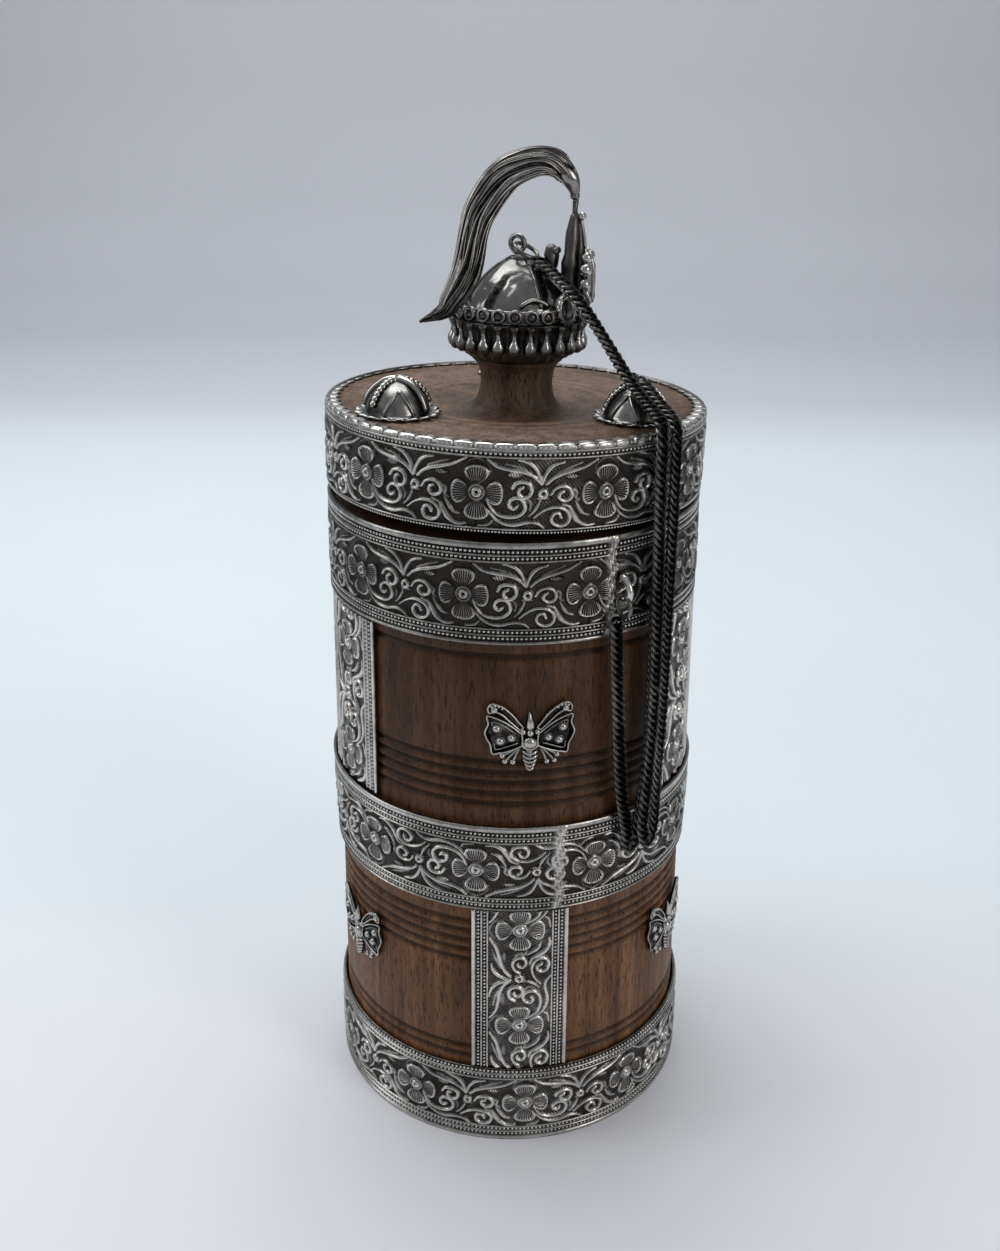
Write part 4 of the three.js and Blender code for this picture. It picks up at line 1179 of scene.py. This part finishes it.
def collar():
    bm = bmesh.new()
    profile = [(11.5, 8.3), (12.4, 8.3), (12.55, 8.6), (12.3, 9.0), (12.3, 9.9), (12.5, 10.2), (12.4, 10.5)]
    turn_profile(bm, profile + [(11.5, 10.5), (11.5, 8.3)], 104)
    bezel = [(0.8, -0.2), (1.3, -0.1), (1.46, 0.3), (1.32, 0.78), (1.02, 0.85), (0.84, 0.6), (0.8, -0.2)]
    stones = bmesh.new()
    for turn in (360 * k / fringe_count for k in range(fringe_count)):
        if min(abs(signed_turn(turn - jewel)) for jewel in jewel_turns.values()) > 13:
            place = crown_place(turn, 12.45, 9.5) @ turned(90, "Y")
            turn_profile(bm, bezel, 12, place)
            turn_profile(stones, [(0, 0.1), (0.86, 0.1), (0.8, 0.5), (0.46, 0.72), (0, 0.78)], 8, place)
    cup = [(0, -0.9), (1.9, -0.9), (2.2, 0.4), (2.25, 1.1), (2.0, 1.5), (1.65, 1.4), (1.5, 0.7), (0, 0.6)]
    for turn in jewel_turns.values():
        turn_profile(bm, cup, 24, jewel_place(turn))
        for spot in circle((0, 0, 1.2), 2.2, 16):
            ball(bm, jewel_place(turn) @ spot, 0.38, 1, 6)
    values = [0.1, 0.34, 0.66, 0.8]
    crown_piece(bm, "crown_collar", cast_silver, ["crown_settings"], [8, 9, 10.5, 13], values)
    crown_piece(stones, "collar_cabochons", cabochon_finish, [])
    for side, turn in jewel_turns.items():
        bm = bmesh.new()
        profile = [(0, 0.65), (1.45, 0.65), (1.5, 0.95), (1.2, 1.3), (0.6, 1.55), (0, 1.62)]
        turn_profile(bm, profile, 20, jewel_place(turn))
        crown_piece(bm, f"{side}_jewel", jewel_finish, [f"side_stone_{side}"])


def fringe():
    bm = bmesh.new()
    wire(bm, circle((0, 0, 7.75), 12.75, 104), 0.3, 6, closed=True)
    drop = [(0, -5.5), (0.6, -5.42), (1.08, -4.95), (1.24, -4.2), (1.18, -3.5), (0.8, -2.8), (0.52, -2.5)]
    drop += [(0.56, -2.25), (0.36, -1.9), (0.38, -1.2), (0.66, -0.4), (0.95, 0.3), (0, 0.35)]
    for k in range(fringe_count):
        turn_profile(bm, drop, 8, crown_place(360 * k / fringe_count, 12.8, 7.5, -7))
    heights = [1.9, 2.4, 3.2, 4.2, 4.9, 5.4, 5.8, 7.2, 8.2]
    values = [0.2, 0.35, 0.25, 0.72, 0.85, 0.5, 0.75, 0.25, 0.05]
    crown_piece(bm, "crown_drops", cast_silver, ["drop_fringe"], heights, values)


dome_outline = [
    (10.55, 8.3), (10.45, 9.0), (10.0, 10.3), (9.2, 11.8), (8.1, 13.4), (6.9, 14.9), (5.5, 16.3), (3.9, 17.6),
    (2.2, 18.6), (0.9, 19.0), (0, 19.05),
]


def dome_point(z, turn, proud):
    """A point at height z that stands proud of the dome."""
    radius = np.interp(z, [h for _, h in dome_outline], [r for r, _ in dome_outline])
    return polar(radius + proud, turn, z)


def dome():
    bm = bmesh.new()
    turn_profile(bm, [(0, 8.3), *smooth_line(dome_outline, 3)], 96)
    for v in bm.verts:
        if 8.6 < v.co.z < 18:
            dent = math.sin(2.3 * v.co.x + 0.7 * v.co.z) * math.sin(1.7 * v.co.y + 0.9 * v.co.z)
            v.co.xy *= 1 + 0.008 * dent
    for middle in (-55, 55, 165, -165):
        rib = [dome_point(z, middle, 0.05) for z in np.linspace(10.6, 18.6, 9)]
        wire(bm, rib, np.linspace(0.5, 0.28, 9), 7)
        shares = np.linspace(-1, 1, 13)
        swag = [dome_point(11.0 + 1.2 * (1 - share**2), middle + 16 * share - 8, 0.7) for share in shares]
        wire(bm, swag, 0.42, 7)
    wire(bm, circle((0, 0, 18.75), 1.9, 20), 0.34, 6, closed=True)
    values = [0.3, 0.6, 0.9, 0.9, 0.4]
    crown_piece(bm, "dome", polished_silver, ["crown_dome"], [8.3, 10, 12, 17, 19], values)


def crest_leaf(levels, sides):
    """A leaf through levels, each its place along +X, its half sizes along and across, and its height."""
    bm = bmesh.new()
    stack(bm, [Matrix.Translation((x, 0, z)) @ Matrix.Diagonal((a, b, 1, 1)) for x, a, b, z in levels], sides)
    return bm


def crest():
    levels = [(11.3, 0.9, 2.6, 10.8), (10.5, 1.5, 3.1, 12.4), (9.9, 1.8, 3.1, 14.2), (9.7, 1.7, 2.8, 15.8)]
    levels += [(9.8, 1.9, 3.2, 17.2), (9.8, 1.9, 3.3, 18.4), (9.9, 1.5, 2.7, 19.9), (10, 1.6, 2.7, 22.2)]
    levels += [(10, 1.5, 2.5, 23.8), (10.05, 1.2, 2.1, 25.2), (10.1, 0.9, 1.4, 26.7), (10.1, 0.35, 0.6, 27.5)]
    bm = crest_leaf(levels, 16)
    vein = [(11.9, 2.2, 11.4), (11.75, 2.4, 14.2), (11.75, 2.3, 17.6), (11.6, 1.7, 22), (11.1, 0.8, 25.6)]
    for side in (-1, 0, 1):
        smooth_wire(bm, [(x, side * y, z) for x, y, z in vein], 3, 0.34)
    wire(bm, [(10.1, -0.3, 26.6), (10.1, -0.45, 28.2), (10.15, -0.6, 29.4)], [0.55, 0.5, 0.55], 8)
    crown_piece(bm, "crest", dark_silver, ["crest_leaf"], [10, 14, 27], [0.3, 0.45, 0.6])

    levels = [(13.1, 0.35, 2.4, 10.8), (13.5, 0.42, 3.1, 13.8), (13.4, 0.42, 3.3, 17), (12.9, 0.4, 2.3, 19.6)]
    bm = crest_leaf(levels + [(12.4, 0.3, 0.8, 21)], 14)
    for side in (-1, 1):
        for y, z, r in ((2.2, 19.5, 1.1), (3.1, 17.4, 1.25), (3.3, 14.8, 1.15)):
            ball(bm, (12.9, side * y, z), r, 1, 14)
        edge = [(13.1, 3.3, 13.6), (13.7, 3.1, 12.4), (13.7, 2.4, 11.4), (13.2, 1.6, 10.9)]
        smooth_wire(bm, [(x, side * y, z) for x, y, z in edge], 4, 0.5, 8)
    smooth_wire(bm, [(13.9, 0, 11.2), (14.1, 0, 14), (14.0, 0, 17), (13.4, 0, 19.6), (12.6, 0, 21)], 3, 0.42, 8)
    ball(bm, (11.5, -0.5, 26.7), 0.8, 1, 10)
    smooth_wire(bm, [(11.3, -0.5, 26.2), (11.9, -0.3, 23.8), (12.4, 0, 20.6)], 3, 0.34, 7)
    values = [0.3, 0.7, 0.9, 1.0]
    crown_piece(bm, "crest_front", cast_silver, ["crest_front_leaf"], [10, 13, 16, 20], values)

    levels = [(6.3, 0.5, 1.2, 16.4), (6.1, 1.2, 1.7, 17.6), (6, 1.5, 1.9, 19.6), (5.95, 1.1, 1.3, 20.9)]
    bm = crest_leaf(levels + [(5.9, 0.4, 0.5, 21.5)], 12)
    for side in (-1, 1):
        ball(bm, (6.9, 1.1 * side, 20.3), 0.75, 1, 8)
    crown_piece(bm, "crest_back", dark_silver, ["crest_back_leaf"], [16, 21], [0.3, 0.6])


# Plume: places of its middle line and half its width there, in the crown's frame
plume_line = [
    (10.1, -0.5, 27.8, 0.45), (10.2, -0.7, 29.8, 0.6), (9.1, -1.1, 33.1, 1.7), (6.5, -1.9, 35.8, 2.3),
    (3.4, -2.7, 36.3, 2.4), (-0.9, -3.8, 34.8, 2.7), (-3.8, -4.9, 32.3, 2.9), (-6.5, -6.2, 27.7, 2.8),
    (-7.5, -7.4, 23.8, 2.6), (-8.1, -8.8, 18.5, 2.6), (-8.9, -9.9, 15.2, 2.5), (-10.7, -11.1, 11.9, 2.1),
    (-12.3, -11.8, 9.7, 1.4), (-16.6, -12, 7.7, 0.25),
]
strand_count = 46
strand_sides = 6


def plume_frames():
    """The plume's middle line, half its width, and the directions across it and out of its flat side."""
    line = smooth_line(plume_line, 6)
    along = np.gradient(line[:, :3], axis=0)
    along /= np.linalg.norm(along, axis=1)[:, None]
    across = np.array([0, 1, 0]) - along * along[:, 1:2]
    across /= np.linalg.norm(across, axis=1)[:, None]
    return line[:, :3], line[:, 3], across, np.cross(along, across)


def plume():
    middle, half, across, up = plume_frames()
    last = len(middle) - 1
    start = int(0.2 * last)
    knob = int(0.09 * last)

    def level(i, wide, thick):
        turn = axes(up[i], across[i], np.cross(up[i], across[i]))
        return Matrix.Translation(middle[i]) @ turn @ Matrix.Diagonal((wide * half[i], thick * half[i], 1, 1))

    bm = bmesh.new()
    quill = [(i, 1.0 - 0.1 * max(0, i - start + 3)) for i in range(start + 4)]
    stack(bm, [level(i, share, 0.75 * share) for i, share in quill], 16)
    ball(bm, middle[knob] + up[knob] * 0.1, 0.95, 0.8, 12)
    values = [0.2, 0.4, 0.8, 1.0]
    crown_piece(bm, "plume_stem", polished_silver, ["plume_quill"], [27, 29.5, 31, 36], values)

    bm = bmesh.new()
    stack(bm, [level(i, 0.86, 0.62) for i in range(start, last + 1)], 16)
    strand_of = [0] * len(bm.verts)
    for k in range(strand_count):
        begin = start - 3 + (k * 7) % 6
        end = last - (k * 11) % 7
        points, radii = [], []
        for i in range(begin, end + 1):
            share = (i - begin) / (end - begin)
            turn = math.tau * k / strand_count + 0.4 * math.sin(3.0 * share + 0.9 * k) + 0.9 * share
            reach = half[i] * (0.93 + 0.09 * math.sin(7 * share + 2.4 * k))
            points.append(middle[i] + up[i] * reach * math.sin(turn) + across[i] * 0.7 * reach * math.cos(turn))
            taper = math.sin(math.pi * min(1, 0.12 + 0.9 * share)) ** 0.35
            radii.append(max(0.06, (0.115 * half[i] + 0.03) * taper))
        wire(bm, points, radii, strand_sides)
        strand_of += [k + 1] * (len(bm.verts) - len(strand_of))
    metres(bm, crown_frame)
    mesh = mesh_of(bm, "plume_strands")
    # bright where a strand stands out of the bundle; the outer edge, which faces the light above, gets a painted
    # highlight
    local = moved(corners(mesh) / MM, crown_frame.inverted())
    which = np.linalg.norm(local[:, None] - middle[None], axis=2).argmin(1)
    away = (local - middle[which]) / half[which][:, None]
    outward = -(away * up[which]).sum(1)
    proud = np.hypot(outward, (away * across[which]).sum(1) / 0.7)
    relief = np.interp(proud, [0.72, 0.88, 1.0], [0.0, 0.25, 1.0])
    relief *= np.interp(outward, [-0.8, 0.2, 0.9], [0.75, 0.9, 1.2])
    shine = np.array([0] + [0.55 + 0.5 * math.sin(2.1 * k) for k in range(strand_count)])
    set_attribute(mesh, "relief", relief * shine[strand_of])
    set_attribute(mesh, "hatch_at", 0.26 * (np.arange(len(local)) % strand_sides) + 0.13)
    set_attribute(mesh, "hatch_share", np.minimum(strand_of, 1))
    piece("plume_strands", mesh, plume_silver, "lid", ["plume_barbs"])


def wire_piece(name, node, points, radii, sides, material, body, relief=0.6, closed=True):
    bm = bmesh.new()
    wire(bm, points, radii, sides, closed)
    metres(bm)
    piece(name, mesh_of(bm, name), material, body, [node], relief)


eye_azimuth = 31.7
ring_wire = 0.42  # half the thickness of the two rings' wire


def loops_and_eye():
    centre = crown_frame @ Vector((-0.6, 0, 21.25))
    axis = around(1, 150, 0)
    level = axis.cross(UP).normalized()
    wire_piece("top_loop", "cap_loop", circle(centre, 1.5, 28, level, UP), 0.5, 8, cast_silver, "lid")
    hang = Vector((0.75, -0.433, -0.5)).normalized()
    side = axis.cross(hang).normalized().cross(hang)
    ring = circle(centre + hang * 2.25, 2.4, 28, hang, side)
    wire_piece("top_ring", "cap_ring", ring, ring_wire, 8, chain_silver, "lid")

    out = around(1, eye_azimuth, 0)
    foot = around(37.95, eye_azimuth, 124.4)
    turns = np.linspace(-math.pi / 2, math.pi / 2, 16)
    arc = [foot + out * 2.6 * math.cos(t) + UP * 2.6 * math.sin(t) for t in turns]
    radii = [0.85] * 2 + [0.62] * 12 + [0.85] * 2
    wire_piece("eye", "chain_eye", arc, radii, 10, beaded_silver, "vessel", relief=1.1, closed=False)
    ring = circle(around(39.4, 31.0, 121.8), 2.1, 28, out, UP)
    wire_piece("eye_ring", "chain_eye_ring", ring, ring_wire, 8, chain_silver, "vessel")


for make in (skirt, collar, fringe, dome, crest, plume, loops_and_eye):
    make()


# Ground and light
def table_finish():
    paint = Finish("table_finish")
    far = paint.remap(paint.axis("Y"), 0.0, 1.0, 0.5, 0.66, "SMOOTHSTEP")
    near = paint.remap(paint.axis("Y"), 0.0, 1.0, 0.08, -0.04, "SMOOTHSTEP")
    fibre = paint.noise(paint.place, 9.0, 4.0)
    pale = paint.ramp(fibre, (0.3, (0.73, 0.78, 0.81)), (0.7, (0.75, 0.8, 0.83)))
    wall = paint.ramp(paint.axis("Z"), (0.0, (0.64, 0.65, 0.69)), (0.6, (0.68, 0.67, 0.68)))
    floor = paint.mix(pale, (0.785, 0.78, 0.81, 1), near, "MIX")
    return paint.done({
        "Base Color": paint.mix(floor, wall, far, "MIX"),
        "Roughness": 0.75,
        "Specular IOR Level": 0.2,
    })


def table():
    """A table that curves up into a backdrop, in metres."""
    bm = bmesh.new()
    sheet = [(-8, 0), (0.9, 0), (1.0, 0.02), (1.07, 0.09), (1.1, 0.2), (1.1, 4)]
    half_width = 6
    profile = outline(bm, [(-half_width, y, z) for y, z in sheet])
    grown = bmesh.ops.extrude_edge_only(bm, edges=edges_in(profile))["geom"]
    bmesh.ops.translate(bm, vec=(2 * half_width, 0, 0), verts=verts_in(grown))
    bmesh.ops.recalc_face_normals(bm, faces=bm.faces)
    mesh = mesh_of(bm, "table")
    mesh.materials.append(table_finish())
    mesh.shade_smooth()
    obj = bpy.data.objects.new("table", mesh)
    scene.collection.objects.link(obj)


def lamp(name, place, target, size, power, colour):
    data = bpy.data.lights.new(name, "AREA")
    data.shape = "RECTANGLE"
    data.size, data.size_y = size
    data.energy = power
    data.color = colour
    obj = bpy.data.objects.new(name, data)
    aim = Vector(target) - Vector(place)
    obj.matrix_world = Matrix.Translation(place) @ aim.to_track_quat("-Z", "Y").to_matrix().to_4x4()
    scene.collection.objects.link(obj)


table()
lamp("ceiling", (-0.12, 0.3, 0.95), (0, 0, 0.05), (0.9, 0.9), 8, (0.95, 0.98, 1.0))
lamp("window", (-0.8, -0.05, 0.55), (0, 0, 0.1), (0.35, 0.6), 1.6, (0.96, 0.98, 1.0))
lamp("room", (0.7, -0.6, 0.5), (0, 0, 0.1), (0.3, 0.6), 2.0, (1.0, 0.97, 0.93))
world = bpy.data.worlds.new("room_light")
world.use_nodes = True
background = world.node_tree.nodes["Background"]
background.inputs["Color"].default_value = (0.62, 0.65, 0.69, 1)
background.inputs["Strength"].default_value = 0.45
scene.world = world
